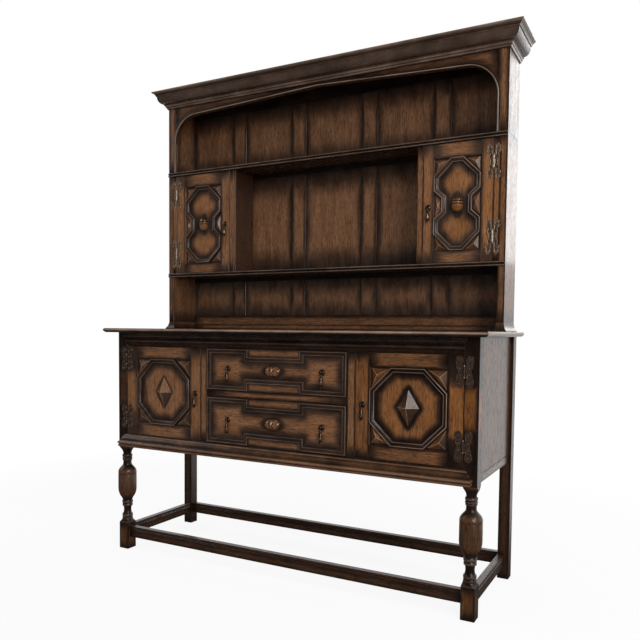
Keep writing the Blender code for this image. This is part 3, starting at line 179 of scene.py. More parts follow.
def oak_material(name, dark, brown, rubbed, shine, coat):
    """Stained oak under wax: near-black stain at the edges, rubbed back to orange brown in
    the middle of each board, with open pores that stay dark and a soft shine."""
    material, tree, shader = new_material(name)
    fibre = add_node(tree, "ShaderNodeAttribute", attribute_name="fibre").outputs["Vector"]
    edges = add_node(tree, "ShaderNodeAttribute", attribute_name="edges")
    wear = add_node(tree, "ShaderNodeAttribute", attribute_name="wear").outputs["Vector"]
    worn, golden, most = add_node(tree, "ShaderNodeSeparateXYZ", {0: wear}).outputs
    parts = add_node(tree, "ShaderNodeSeparateColor", {0: edges.outputs["Color"]})
    nearest = maths(tree, "MINIMUM", parts.outputs[0], parts.outputs[1])
    nearest = maths(tree, "MINIMUM", nearest, parts.outputs[2])
    nearest = maths(tree, "MINIMUM", nearest, edges.outputs["Alpha"])
    nearest = maths(tree, "MINIMUM", nearest, most)

    cloud = streaks(tree, fibre, 90, 45, 2)          # uneven rubbing by hand
    figure = streaks(tree, fibre, 160, 17, 3)        # broad light and dark figure
    growth = streaks(tree, fibre, 75, 4.2, 2)        # growth rings, real ones are 2 to 4 mm
    pores = streaks(tree, fibre, 20, 2.7, 2)         # pores, real ones are 0.3 mm wide: drawn coarser

    rubbing = maths(tree, "ADD", nearest, remap(tree, cloud, 0.3, 0.7, -0.12, 0.12))
    rubbing = maths(tree, "ADD", rubbing, remap(tree, figure, 0.3, 0.7, -0.05, 0.05))
    ramp = add_node(tree, "ShaderNodeValToRGB", {"Fac": rubbing})
    stops = ramp.color_ramp.elements
    stops[0].position, stops[0].color = 0.0, (*dark, 1)
    stops[1].position, stops[1].color = 1.0, (*rubbed, 1)
    middle = stops.new(0.40)
    middle.color = (*brown, 1)

    grain = maths(tree, "MULTIPLY", remap(tree, growth, 0.3, 0.7, 0.70, 1.26),
                  remap(tree, figure, 0.3, 0.7, 0.88, 1.14))
    pore_mask = remap(tree, pores, 0.50, 0.62, 0.0, 1.0)
    grain = maths(tree, "MULTIPLY", grain, remap(tree, pore_mask, 0.0, 1.0, 1.0, 0.46))
    bare = maths(tree, "MULTIPLY", golden, remap(tree, rubbing, 0.25, 0.95, 0.0, 1.0))
    ground = add_node(tree, "ShaderNodeMix", {
        "Factor": bare, 6: ramp.outputs["Color"], 7: (*colours().golden_oak, 1)}, data_type="RGBA")
    toned = add_node(tree, "ShaderNodeVectorMath", {
        0: ground.outputs[2], "Scale": grain}, operation="SCALE")
    # Worn edges and the painted sheen, a grey veil carried in the worn share, mix toward one pale colour.
    wear_and_painted_sheen = maths(tree, "MULTIPLY", worn, remap(tree, cloud, 0.38, 0.6, 0.5, 0.9))
    mixed = add_node(tree, "ShaderNodeMix", {
        "Factor": wear_and_painted_sheen, 6: toned.outputs[0], 7: (*colours().worn_edge, 1)}, data_type="RGBA")

    relief = maths(tree, "SUBTRACT", growth, maths(tree, "MULTIPLY", pore_mask, 0.8))
    bump = add_node(tree, "ShaderNodeBump", {"Strength": 0.35, "Distance": 0.0004, "Height": relief})
    rough = maths(tree, "ADD", remap(tree, pore_mask, 0, 1, shine, shine + 0.2),
                  remap(tree, cloud, 0.3, 0.7, 0.0, 0.1))
    # Bosses, set to be rubbed past the full measure, are polished smooth under more wax.
    rough = maths(tree, "MULTIPLY", rough, remap(tree, most, 1.0, 1.5, 1.0, 0.5))
    tree.links.new(remap(tree, most, 1.15, 1.5, coat, 1.0), shader.inputs["Coat Weight"])
    tree.links.new(mixed.outputs[2], shader.inputs["Base Color"])
    tree.links.new(rough, shader.inputs["Roughness"])
    tree.links.new(bump.outputs[0], shader.inputs["Normal"])
    shader.inputs["IOR"].default_value = 1.38
    shader.inputs["Coat Weight"].default_value = coat
    shader.inputs["Coat Roughness"].default_value = 0.14
    return material


def bronze_material(name):
    """Cast bronze, patinated brown and handled bright on its high places."""
    material, tree, shader = new_material(name)
    place = add_node(tree, "ShaderNodeTexCoord").outputs["Object"]
    wear = add_node(tree, "ShaderNodeAttribute", attribute_name="wear").outputs["Vector"]
    # Hinge plates are dull and brown, and the pulls are dark bare metal.
    worn, metal, light = add_node(tree, "ShaderNodeSeparateXYZ", {0: wear}).outputs
    mottle = add_node(tree, "ShaderNodeTexNoise", {
        "Vector": place, "Scale": 160.0, "Detail": 3.0}).outputs["Fac"]          # 6 mm patches of patina
    grit = add_node(tree, "ShaderNodeTexNoise", {
        "Vector": place, "Scale": 900.0, "Detail": 2.0}).outputs["Fac"]          # 1 mm casting grit
    share = maths(tree, "ADD", remap(tree, mottle, 0.35, 0.7, 0.0, 0.55),
                  maths(tree, "MULTIPLY", worn, 0.5))
    share = maths(tree, "MULTIPLY", share, light)
    mixed = add_node(tree, "ShaderNodeMix", {
        "Factor": share, 6: (*colours().bronze_dark, 1), 7: (*colours().bronze_light, 1)},
        data_type="RGBA")
    # Pale bare metal: real polish, and on the hinges' barrels and rims also a painted highlight.
    bare = maths(tree, "MULTIPLY", remap(tree, worn, 0.72, 1.0, 0.0, 0.85),
                 remap(tree, mottle, 0.25, 0.6, 0.5, 1.0))
    mixed = add_node(tree, "ShaderNodeMix", {
        "Factor": bare, 6: mixed.outputs[2], 7: (*colours().bronze_worn, 1)}, data_type="RGBA")
    bump = add_node(tree, "ShaderNodeBump", {"Strength": 0.3, "Distance": 0.0003, "Height": grit})
    tree.links.new(mixed.outputs[2], shader.inputs["Base Color"])
    rough = maths(tree, "MULTIPLY", remap(tree, mottle, 0.3, 0.7, 0.30, 0.46),
                  remap(tree, metal, 0.0, 1.0, 1.0, 0.75))
    tree.links.new(rough, shader.inputs["Roughness"])
    tree.links.new(remap(tree, metal, 0.0, 1.0, 0.4, 0.92), shader.inputs["Metallic"])
    tree.links.new(bump.outputs[0], shader.inputs["Normal"])
    return material


FINISH_NAMES = {"oak": "oak_stained", "oak_panel": "oak_burnished", "oak_dark": "oak_dark_stained",
                "bronze": "bronze_patinated"}


def finish(slot):
    """The material of a slot, made the first time it is asked for."""
    name = FINISH_NAMES[slot]
    found = bpy.data.materials.get(name)
    if found:
        return found
    if slot == "bronze":
        return bronze_material(name)
    shades = colours()
    dark, brown = shades.dark_stain, shades.brown_stain
    halfway = tuple((a + b) / 2 for a, b in zip(dark, brown))
    # Colours from the dark edges to the rubbed middle, then roughness and how thick the wax is.
    makings = {"oak": (dark, brown, shades.rubbed_oak, 0.26, 0.32),
               "oak_panel": (dark, brown, shades.rubbed_panel, 0.28, 0.32),
               "oak_dark": (dark, halfway, brown, 0.20, 0.2)}
    return oak_material(name, *makings[slot])


def quads(rings, count, looped=False):
    """The faces between closed rings of points. looped joins the last ring to the first."""
    return [[r * count + i, r * count + (i + 1) % count,
             (r + 1) % rings * count + (i + 1) % count, (r + 1) % rings * count + i]
            for r in range(rings if looped else rings - 1) for i in range(count)]


def angles(count):
    """Even steps round a circle."""
    return [2 * math.pi * i / count for i in range(count)]


class Stock:
    """Collects the faces of one piece, with what the oak reads at each corner of a face: its place
    in the wood, how far the edges of its board are, and how worn it is."""

    def __init__(self, name, slot="oak"):
        self.name = name
        self.slot = slot
        self.aged()
        self.dice = random.Random(name)
        self.points = []
        self.faces = []
        self.smooth = []
        self.fibre = []
        self.edges = []
        self.rubbed = []

    def aged(self, golden=0.0, most=1.0, bloom=0.0):
        """Sets how the next faces have aged: how golden their rubbed oak is, how far they are rubbed
        at most, and how much painted sheen, a grey veil standing in for the wax's reflection, they take.
        On bronze the first is how bare the metal is and the second how light."""
        self.golden, self.most, self.bloom = golden, most, bloom
        return self

    def add(self, points, faces, grain, edges, rubbed=0.0, smooth=False):
        """Adds faces. edges and rubbed are one value, one for each point, or for each face corner."""
        first = len(self.points)
        slide = [self.dice.uniform(0, 20) for _ in range(3)]
        order = [(grain + k) % 3 for k in range(3)]
        self.points.extend(tuple(p) for p in points)
        corner = 0
        for face in faces:
            self.faces.append([first + i for i in face])
            self.smooth.append(smooth)
            for i in face:
                self.fibre.append([points[i][order[k]] + slide[k] for k in range(3)])
                for values, kept in ((edges, self.edges), (rubbed, self.rubbed)):
                    if isinstance(values, (int, float)):
                        kept.append(values)
                    elif len(values) == len(points):
                        kept.append(values[i])
                    else:
                        kept.append(values[corner])
                # The painted sheen raises the worn share, so it mixes in the same pale colour as worn
                # edges.
                self.rubbed[-1] = (max(self.rubbed[-1], self.bloom), self.golden, self.most)
                corner += 1

    def board(self, low, high, grain, fade=(0.05, 0.05), ease=None, level=None, tones=None):
        """A board with eased edges. fade is how far its dark edges reach: along the grain, then across
        it from its low and its high side. level is given instead where a board is evenly stained.
        tones are (place along the grain, how far rubbed)."""
        low, high = Vector(map(min, low, high)), Vector(map(max, low, high))
        ease = min(ease or sizes().arris, min(high - low) * 0.3)
        bm = bmesh.new()
        bmesh.ops.create_cube(bm, size=1.0)
        for vert in bm.verts:
            vert.co = Vector(low[k] if vert.co[k] < 0 else high[k] for k in range(3))
        bmesh.ops.bevel(bm, geom=bm.edges[:], offset=ease, segments=1, profile=0.5, affect="EDGES")
        for place, _ in (tones or ())[1:-1]:
            cut = Vector(place if k == grain else 0 for k in range(3))
            bmesh.ops.bisect_plane(bm, geom=[*bm.verts, *bm.edges, *bm.faces], plane_co=cut,
                                   plane_no=[float(k == grain) for k in range(3)])
        bm.normal_update()
        below, above = ([min((high[k] - low[k]) * MOST_FADE, fade[0] if k == grain else fade[side])
                         for k in range(3)] for side in (1, -1))
        edges, rubbed = [], []
        for face in bm.faces:
            normal = [abs(n) for n in face.normal]
            flat = normal.index(max(normal))
            across = [k for k in range(3) if k != flat]
            eased = max(normal) < 0.999
            for loop in face.loops:
                place = loop.vert.co
                near = [(place[k] - low[k]) / below[k] for k in across]
                near += [(high[k] - place[k]) / above[k] for k in across]
                if tones:
                    rubbing = float(np.interp(place[grain], *zip(*tones)))
                    near = [rubbing if k == grain else value for k, value in zip(across * 2, near)]
                edges.append([level] * 4 if level is not None else near)
                rubbed.append(EASED_WEAR if eased else 0.0)
        bm.verts.index_update()
        faces = [[v.index for v in face.verts] for face in bm.faces]
        self.add([v.co.copy() for v in bm.verts], faces, grain, edges, rubbed)
        bm.free()

    def boards(self, x_span, y_span, z_span, count, fade):
        """A row of upright boards, edge to edge."""
        (left, right), (front, back), (bottom, top) = x_span, y_span, z_span
        for i in range(count):
            x0, x1 = (left + (right - left) * k / count for k in (i, i + 1))
            self.board((x0, front, bottom), (x1, back, top), ALONG_Z, fade=fade)

    def field(self, columns, front, back, grain, shade, rows=None):
        """A shaded slab that faces forwards. columns are (x, lowest z, highest z), and shade gives a
        place's distance from the dark edges."""
        tall = max(top - bottom for _, bottom, top in columns)
        rows = rows or max(2, math.ceil(tall / sizes().field_step))
        grid = [[(x, bottom + (top - bottom) * j / rows) for j in range(rows + 1)]
                for x, bottom, top in columns]
        last = len(columns) - 1
        rim = [(i, 0) for i in range(last)] + [(last, j) for j in range(rows)]
        rim += [(i, rows) for i in range(last, 0, -1)] + [(0, j) for j in range(rows, 0, -1)]
        points = [(x, front, z) for column in grid for x, z in column]
        flat = np.array([(x, z) for column in grid for x, z in column])
        values = [float(v) for v in shade(flat)]
        start = len(points)
        points += [(grid[i][j][0], back, grid[i][j][1]) for i, j in rim]
        values += [0.4] * len(rim)          # the back is evenly stained

        def at(i, j):
            return i * (rows + 1) + j
        faces = [[at(i, j), at(i + 1, j), at(i + 1, j + 1), at(i, j + 1)]
                 for i in range(last) for j in range(rows)]
        count = len(rim)
        for k in range(count):
            here, after = rim[k], rim[(k + 1) % count]
            faces.append([at(*after), at(*here), start + k, start + (k + 1) % count])
        faces.append([start + k for k in reversed(range(count))])
        self.add(points, faces, grain, values)

    def facets(self, base, tip, foot_y, height, grain, tones, ridge=0.0016):
        """A pyramid on a front: its base polygon is (x, z) and its tip stands forward by height. Its
        ridges are rubbed pale, and each facet has a tone of painted light or shade."""
        peak = Vector((tip[0], foot_y - height, tip[1]))
        corners = [Vector((x, foot_y, z)) for x, z in base]
        count = len(corners)
        points, shade, wear = [*corners, peak], [0.3] * (count + 1), [0.8] * count + [1.0]
        faces, foot = [], []
        for i in range(count):
            a, b = corners[i], corners[(i + 1) % count]
            doubled = (b - a).cross(peak - a).length
            off_b, off_a = ridge * (peak - a).length / doubled, ridge * (peak - b).length / doubled
            first = len(points)
            upper = a * off_a + b * off_b + peak * (1 - off_a - off_b)
            points += [a.lerp(b, off_b), b.lerp(a, off_a), upper]
            shade += [tones[i % len(tones)]] * 3
            wear += [0.0] * 3
            foot += [i, first, first + 1]
            faces += [[i, first, first + 2, count], [first, first + 1, first + 2],
                      [first + 1, (i + 1) % count, count, first + 2]]
        self.add(points, faces + [foot[::-1]], grain, shade, wear)

    def loft(self, rings, grain, shade, rubbed=0.0, smooth=False):
        """A skin over rings of equal count, closed at both ends."""
        count = len(rings[0])
        points = [tuple(p) for ring in rings for p in ring]
        faces = quads(len(rings), count) + [list(reversed(range(count)))]
        faces.append([(len(rings) - 1) * count + i for i in range(count)])
        values = [shade(Vector(p)) for p in points] if callable(shade) else shade
        self.add(points, faces, grain, values, rubbed, smooth)

    def piece(self, body, *nodes):
        """Makes the piece's mesh, gives it its finish and sets it on its body in place of its nodes."""
        mesh = bpy.data.meshes.new(self.name)
        mesh.from_pydata(self.points, [], self.faces)
        edges = [value if isinstance(value, list) else [value] * 4 for value in self.edges]
        for name, kind, key, values in (
                ("fibre", "FLOAT_VECTOR", "vector", self.fibre), ("edges", "FLOAT_COLOR", "color", edges),
                ("wear", "FLOAT_VECTOR", "vector", self.rubbed)):
            kept = mesh.attributes.new(name, kind, "CORNER")
            kept.data.foreach_set(key, np.array(values, np.float32).ravel())
        mesh.polygons.foreach_set("use_smooth", self.smooth)
        turn_outwards(mesh)
        mesh.set_sharp_from_angle(angle=SHARP)
        mesh.materials.append(finish(self.slot))
        obj = bpy.data.objects.new(self.name, mesh)
        bpy.context.scene.collection.objects.link(obj)
        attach(obj, body)
        if nodes:
            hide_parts(*nodes)


def turn_outwards(mesh):
    """Turns the faces of closed shells outwards."""
    bm = bmesh.new()
    bm.from_mesh(mesh)
    bmesh.ops.recalc_face_normals(bm, faces=bm.faces)
    bm.to_mesh(mesh)
    bm.free()


def tree_with(name, *inputs):
    """An empty Geometry Nodes tree with named inputs, and its two end nodes."""
    tree = bpy.data.node_groups.new(name, "GeometryNodeTree")
    tree.interface.new_socket("Geometry", in_out="INPUT", socket_type="NodeSocketGeometry")
    tree.interface.new_socket("Geometry", in_out="OUTPUT", socket_type="NodeSocketGeometry")
    for label, kind in inputs:
        tree.interface.new_socket(label, in_out="INPUT", socket_type=kind)
    return tree, tree.nodes.new("NodeGroupInput"), tree.nodes.new("NodeGroupOutput")


def keep_value(tree, geometry, name, value):
    """Stores a value on the points of a curve under a name."""
    return add_node(tree, "GeometryNodeStoreNamedAttribute", {
        "Geometry": geometry, "Name": name, "Value": value}, data_type="FLOAT", domain="POINT").outputs[0]


def close_tree(tree, end, geometry, material):
    """Ends a tree in Realize Instances and Set Material."""
    real = add_node(tree, "GeometryNodeRealizeInstances", {"Geometry": geometry})
    coated = add_node(tree, "GeometryNodeSetMaterial", {
        "Geometry": real.outputs[0], "Material": material})
    tree.links.new(coated.outputs[0], end.inputs[0])


def moulding_tree():
    """Runs a moulding's section along a path with true mitres. The path carries its mitre as radius,
    and the section keeps its height there, so only its width grows."""
    tree, start, end = tree_with(
        "moulding_tree", ("Section", "NodeSocketObject"), ("Width", "NodeSocketFloat"),
        ("Height", "NodeSocketFloat"), ("Finish", "NodeSocketMaterial"))
    spline = add_node(tree, "GeometryNodeSplineParameter")
    mitre = add_node(tree, "GeometryNodeInputRadius").outputs[0]
    flat = add_node(tree, "GeometryNodeSetCurveNormal", {"Curve": start.outputs[0]}, mode="Z_UP")
    path = keep_value(tree, flat.outputs[0], "run", spline.outputs["Length"])
    path = keep_value(tree, path, "mitre", mitre)
    section = add_node(tree, "GeometryNodeObjectInfo", {"Object": start.outputs["Section"]})
    # A section's second axis points down along a path in the flat, so it is turned over.
    upwards = maths(tree, "MULTIPLY", start.outputs["Height"], -1.0)
    size = add_node(tree, "ShaderNodeCombineXYZ", {0: start.outputs["Width"], 1: upwards, 2: 1.0})
    shape = add_node(tree, "GeometryNodeTransform", {
        "Geometry": section.outputs["Geometry"], "Scale": size.outputs[0]})
    shape = keep_value(tree, shape.outputs[0], "station", spline.outputs["Index"])
    swept = add_node(tree, "GeometryNodeCurveToMesh", {
        "Curve": path, "Profile Curve": shape, "Scale": mitre, "Fill Caps": True})
    wider = add_node(tree, "GeometryNodeInputNamedAttribute", {"Name": "mitre"}, data_type="FLOAT")
    place = add_node(tree, "GeometryNodeInputPosition")
    axes = add_node(tree, "ShaderNodeSeparateXYZ", {0: place.outputs[0]})
    height = maths(tree, "DIVIDE", axes.outputs[2], wider.outputs[0])
    level = add_node(tree, "ShaderNodeCombineXYZ", {0: axes.outputs[0], 1: axes.outputs[1], 2: height})
    true = add_node(tree, "GeometryNodeSetPosition", {
        "Geometry": swept.outputs[0], "Position": level.outputs[0]})
    close_tree(tree, end, true.outputs[0], start.outputs["Finish"])
    return tree


def turning_tree():
    """Turns an outline round its axis. The axis is a straight curve with the radii of the outline."""
    tree, start, end = tree_with(
        "turning_tree", ("Sides", "NodeSocketInt"), ("Finish", "NodeSocketMaterial"))
    radius = add_node(tree, "GeometryNodeInputRadius").outputs[0]
    spline = add_node(tree, "GeometryNodeSplineParameter")
    axis = keep_value(tree, start.outputs[0], "station", spline.outputs["Index"])
    circle = add_node(tree, "GeometryNodeCurvePrimitiveCircle", {
        "Resolution": start.outputs["Sides"], "Radius": 1.0})
    turned = add_node(tree, "GeometryNodeCurveToMesh", {
        "Curve": axis, "Profile Curve": circle.outputs[0], "Scale": radius, "Fill Caps": True})
    close_tree(tree, end, turned.outputs[0], start.outputs["Finish"])
    return tree


def nail_tree():
    """Sets a domed nail head on each point. Its radius and how far it stands out are inputs."""
    tree, start, end = tree_with(
        "nail_tree", ("Radius", "NodeSocketFloat"), ("Dome", "NodeSocketFloat"),
        ("Finish", "NodeSocketMaterial"))
    ball = add_node(tree, "GeometryNodeMeshUVSphere", {
        "Segments": 8, "Rings": 5, "Radius": start.outputs["Radius"]})
    squash = add_node(tree, "ShaderNodeCombineXYZ", {0: 1.0, 1: start.outputs["Dome"], 2: 1.0})
    heads = add_node(tree, "GeometryNodeInstanceOnPoints", {
        "Points": start.outputs[0], "Instance": ball.outputs[0], "Scale": squash.outputs[0]})
    close_tree(tree, end, heads.outputs[0], start.outputs["Finish"])
    return tree


def grown(source, tree_maker, inputs):
    """The plain mesh that a Geometry Nodes tree makes of an object, which is then removed."""
    tree = bpy.data.node_groups.get(tree_maker.__name__) or tree_maker()
    bpy.context.scene.collection.objects.link(source)
    modifier = source.modifiers.new("shape", "NODES")
    modifier.node_group = tree
    for item in tree.interface.items_tree:
        if item.in_out == "INPUT" and item.name in inputs:
            modifier[item.identifier] = inputs[item.name]
    evaluated = source.evaluated_get(bpy.context.evaluated_depsgraph_get())
    mesh = bpy.data.meshes.new_from_object(evaluated)
    source.modifiers.remove(modifier)
    bpy.data.objects.remove(source)
    return mesh


def line_object(name, points, closed, radii=None):
    """A curve object of straight stretches."""
    data = bpy.data.curves.new(name, "CURVE")
    data.dimensions = "3D"
    spline = data.splines.new("POLY")
    spline.points.add(len(points) - 1)
    for i, place in enumerate(points):
        spline.points[i].co = (*place, 1.0)
        spline.points[i].radius = radii[i] if radii else 1.0
    spline.use_cyclic_u = closed
    return bpy.data.objects.new(name, data)


def mitre(before, after):
    """How much wider a section stands where its path turns from one direction to another."""
    return 1 / math.sqrt(max(0.1, (1 + before.dot(after)) / 2))


def mitres(path, closed):
    """How much wider a section stands at each corner of a path."""
    count = len(path)
    result = []
    for i in range(count):
        if not closed and i in (0, count - 1):
            result.append(1.0)
            continue
        before = (Vector(path[i]) - Vector(path[i - 1])).normalized()
        after = (Vector(path[(i + 1) % count]) - Vector(path[i])).normalized()
        result.append(mitre(before, after))
    return result


def values_of(mesh, name):
    """A named value on each point of a mesh."""
    found = mesh.attributes[name]
    kept = np.zeros(len(found.data), np.float32)
    found.data.foreach_get("value", kept)
    return kept


def add_mesh(stock, mesh, place, edges, rubbed, grain=None):
    """Adds a grown mesh to a piece. place turns its points into the frame; edges and rubbed are read
    at its stations, and the grain follows an axis or, where none is given, the mesh's run."""
    station = np.rint(values_of(mesh, "station")).astype(int)
    points = [place @ v.co for v in mesh.vertices]
    faces = [list(p.vertices) for p in mesh.polygons]
    shade, wear = ([float(row[i % len(row)]) for i in station] for row in (edges, rubbed))
    corner = len(stock.fibre)
    stock.add(points, faces, grain or ALONG_X, shade, wear, smooth=True)
    if grain is None:
        run = values_of(mesh, "run")
        slide = stock.dice.uniform(0, 20)
        for face in faces:
            for i in face:
                stock.fibre[corner] = [run[i] + slide, station[i] * 0.003, slide]
                corner += 1
    bpy.data.meshes.remove(mesh)


def run_moulding(stock, path, closed, section, width, height, place, tone=0.08, worn=1.0):
    """Runs a section along a path in the flat, then sets it in place. The section is (across, up,
    rubbed) in shares of its width and height."""
    outline = line_object("section", [(a, b, 0.0) for a, b, _ in section], True)
    track = line_object("path", [(x, y, 0.0) for x, y in path], closed, mitres(path, closed))
    bpy.context.scene.collection.objects.link(outline)
    mesh = grown(track, moulding_tree, {
        "Section": outline, "Width": width, "Height": height, "Finish": finish(stock.slot)})
    bpy.data.objects.remove(outline)
    # Rubbed crests are painted lighter: partly wear, partly a painted highlight.
    shade = [tone + 0.45 * rubbed for _, _, rubbed in section]
    add_mesh(stock, mesh, place, shade, [worn * rubbed for _, _, rubbed in section])


def turn(stock, outline, place, sides=None, grain=ALONG_Z, edges=0.5, square=()):
    """Turns an outline of (height, radius, rubbed) rows and sets it in place. square holds the
    turned part to square blocks, each of them (low, high, half width)."""
    radii = [max(radius, 1e-5) for _, radius, _ in outline]
    axis = line_object("axis", [(0, 0, height) for height, _, _ in outline], False, radii)
    mesh = grown(axis, turning_tree, {
        "Sides": sides or sizes().turned_sides, "Finish": finish(stock.slot)})
    for low, high, half in square:
        for vert in mesh.vertices:
            if low <= vert.co.z <= high:
                vert.co.x = max(-half, min(half, vert.co.x))
                vert.co.y = max(-half, min(half, vert.co.y))
    shade = edges if isinstance(edges, list) else [edges] * len(outline)
    add_mesh(stock, mesh, place, shade, [rubbed for _, _, rubbed in outline], grain)


def on_front(face):
    """Stands a flat drawing up on a front at depth face: its up is towards the viewer."""
    return Matrix.Translation((0, face, 0)) @ Matrix.Rotation(QUARTER_TURN, 4, "X")


def at_height(z):
    """Lays a flat drawing at a height."""
    return Matrix.Translation((0, 0, z))


def between(sign, inner, outer):
    """A span from its two distances from the middle, on one side."""
    return tuple(sorted((sign * inner, sign * outer)))


def inset(span, step):
    """A span drawn in at both ends."""
    return span[0] + step, span[1] - step


def to_polygon(points, polygon):
    """Distance of each point from the nearest side of a polygon."""
    best = np.full(len(points), 1e9)
    for i in range(len(polygon)):
        a, b = np.array(polygon[i - 1], float), np.array(polygon[i], float)
        side = b - a
        share = np.clip(((points - a) @ side) / (side @ side), 0, 1)
        best = np.minimum(best, np.linalg.norm(points - a - share[:, None] * side, axis=1))
    return best


def inside(points, polygon):
    """Whether each point lies within a polygon."""
    result = np.zeros(len(points), bool)
    for i in range(len(polygon)):
        (x0, z0), (x1, z1) = polygon[i - 1], polygon[i]
        crosses = (z0 > points[:, 1]) != (z1 > points[:, 1])
        rise = z1 - z0 if abs(z1 - z0) > 1e-12 else 1e-12
        result ^= crosses & (points[:, 0] < (x1 - x0) * (points[:, 1] - z0) / rise + x0)
    return result


def drawn_in(polygon, step):
    """A polygon with all its sides moved in, its points in order against the clock."""
    count = len(polygon)
    result = []
    for i in range(count):
        here = Vector(polygon[i])
        before = (here - Vector(polygon[i - 1])).normalized()
        after = (Vector(polygon[(i + 1) % count]) - here).normalized()
        normal = Vector((-before.y - after.y, before.x + after.x)).normalized()
        result.append(tuple(here + normal * step * mitre(before, after)))
    return result


def against_clock(polygon):
    """The polygon with its points in order against the clock."""
    area = sum(polygon[i - 1][0] * polygon[i][1] - polygon[i][0] * polygon[i - 1][1]
               for i in range(len(polygon)))
    return polygon if area > 0 else polygon[::-1]


def columns_of(span, low, high, step=None):
    """Even columns of a field."""
    count = max(2, math.ceil((span[1] - span[0]) / (step or sizes().field_step)))
    return [(span[0] + (span[1] - span[0]) * i / count, low, high) for i in range(count + 1)]


# Sections of the mouldings: (across from the outline, up, rubbed), in shares of width and height.
# Two beads stand up from a hollow on the doors and drawers, and their tops are painted pale: partly wear,
# partly a painted highlight.
DOOR_SECTION = (
    (0.0, 0.0, 0.0), (0.0, 0.80, 0.0), (0.04, 0.93, 0.3), (0.11, 1.0, 1.0), (0.18, 0.95, 0.35),
    (0.23, 0.80, 0.0), (0.30, 0.68, 0.0), (0.42, 0.64, 0.0), (0.55, 0.56, 0.0), (0.63, 0.42, 0.0),
    (0.68, 0.41, 0.0), (0.73, 0.53, 0.2), (0.79, 0.58, 0.8), (0.86, 0.52, 0.25), (0.93, 0.34, 0.0),
    (1.0, 0.10, 0.0), (1.0, 0.0, 0.0))
# Out from the face and up from the lower edge, in metres, then rubbed.
TOP_SECTION = (
    (0.000, 0.000, 0.0), (0.003, 0.000, 0.0), (0.007, 0.001, 0.0), (0.0095, 0.005, 0.0),
    (0.010, 0.009, 0.1), (0.009, 0.013, 0.0), (0.007, 0.016, 0.0), (0.005, 0.019, 0.0),
    (0.006, 0.024, 0.0), (0.013, 0.0245, 0.0), (0.016, 0.026, 0.1), (0.0185, 0.029, 0.0),
    (0.021, 0.033, 0.0), (0.022, 0.0415, 0.0), (0.000, 0.0415, 0.0))
BOTTOM_SECTION = (
    (0.000, 0.000, 0.0), (0.019, 0.000, 0.0), (0.0215, 0.0010, 0.2), (0.0228, 0.0030, 0.5),
    (0.0228, 0.0060, 0.4), (0.0218, 0.0082, 0.1), (0.0200, 0.0096, 0.0), (0.0212, 0.0108, 0.1),
    (0.0236, 0.0128, 0.5), (0.0245, 0.0155, 0.8), (0.0240, 0.0185, 0.8), (0.0222, 0.0205, 0.3),
    (0.0190, 0.0222, 0.0), (0.0170, 0.0245, 0.0), (0.0163, 0.0285, 0.1), (0.0140, 0.0330, 0.2),
    (0.0105, 0.0375, 0.1), (0.0072, 0.0405, 0.0), (0.0066, 0.0425, 1.0), (0.0060, 0.0440, 0.4),
    (0.0020, 0.0470, 0.0), (0.0000, 0.0470, 0.0))
BEAD_SECTION = (
    (0.0, 0.0, 0.0), (0.0, 0.45, 0.0), (0.10, 0.80, 0.2), (0.28, 1.0, 0.9), (0.46, 0.80, 0.2),
    (0.56, 0.45, 0.0), (0.66, 0.40, 0.0), (0.90, 0.40, 0.0), (1.0, 0.25, 0.1), (1.0, 0.0, 0.0))
# A shelf's edge: two thin beads with a hollow between them.
NOSE_SECTION = (
    (0.0, 0.0, 0.0), (0.55, 0.0, 0.0), (0.82, 0.04, 0.2), (1.0, 0.14, 0.5), (0.92, 0.26, 0.2),
    (0.66, 0.33, 0.0), (0.60, 0.50, 0.0), (0.66, 0.67, 0.0), (0.92, 0.74, 0.2), (1.0, 0.86, 0.5),
    (0.82, 0.96, 0.4), (0.55, 1.0, 0.1), (0.0, 1.0, 0.0))


def cornice_section():
    """The cornice's section: fillets, a quarter round and the crown's broad upper band."""
    rows = [(-0.012, 0.0, 0.0), (0.004, 0.0, 0.0), (0.006, 0.006, 0.5), (0.009, 0.008, 0.0),
            (0.010, 0.013, 0.6), (0.014, 0.015, 0.2), (0.014, 0.020, 0.0)]
    steps = 9
    for i in range(1, steps + 1):
        angle = math.pi / 2 * i / steps
        rows.append((0.014 + 0.022 * math.sin(angle), 0.020 + 0.030 * (1 - math.cos(angle)), 0.15))
    rows += [(0.039, 0.0505, 0.3), (0.040, 0.054, 0.0), (0.0435, 0.0595, 0.1), (0.0505, 0.063, 0.5),
             (0.052, 0.0645, 0.6), (0.052, 0.068, 0.4), (-0.012, 0.068, 0.0)]
    return rows


# The camera as fitted to the photo: yaw, pitch and roll in degrees, its place in metres, then its
# focal length and the height of its axis in the photo's pixels.
PHOTO_TURN = (27.9306, -2.9462, 0.5817)
PHOTO_PLACE = (1.2456, -2.2059, 0.8847)
PHOTO_FOCUS, PHOTO_AXIS, PHOTO_SIDE = 673.65, 365.49, 640
SENSOR = 36.0                     # in millimetres
# Name, place, what it is aimed at, width and height in metres, and power in watts.
SOFTBOXES = (
    ("key_softbox", (4.2, -3.7, 2.7), (0.0, 0, 1.2), (2.0, 3.6), 168.0),
    ("high_softbox", (4.6, -1.6, 4.4), (0.0, 0, 1.0), (0.8, 0.8), 42.0),
    ("fill_softbox", (-4.0, -0.9, 3.4), (0, 0, 0.9), (2.4, 2.4), 30.0),
    ("rear_softbox", (1.0, 3.6, 2.6), (0, 0.2, 0.9), (2.4, 2.4), 40.0))
FLOOR_REACH = 14.0


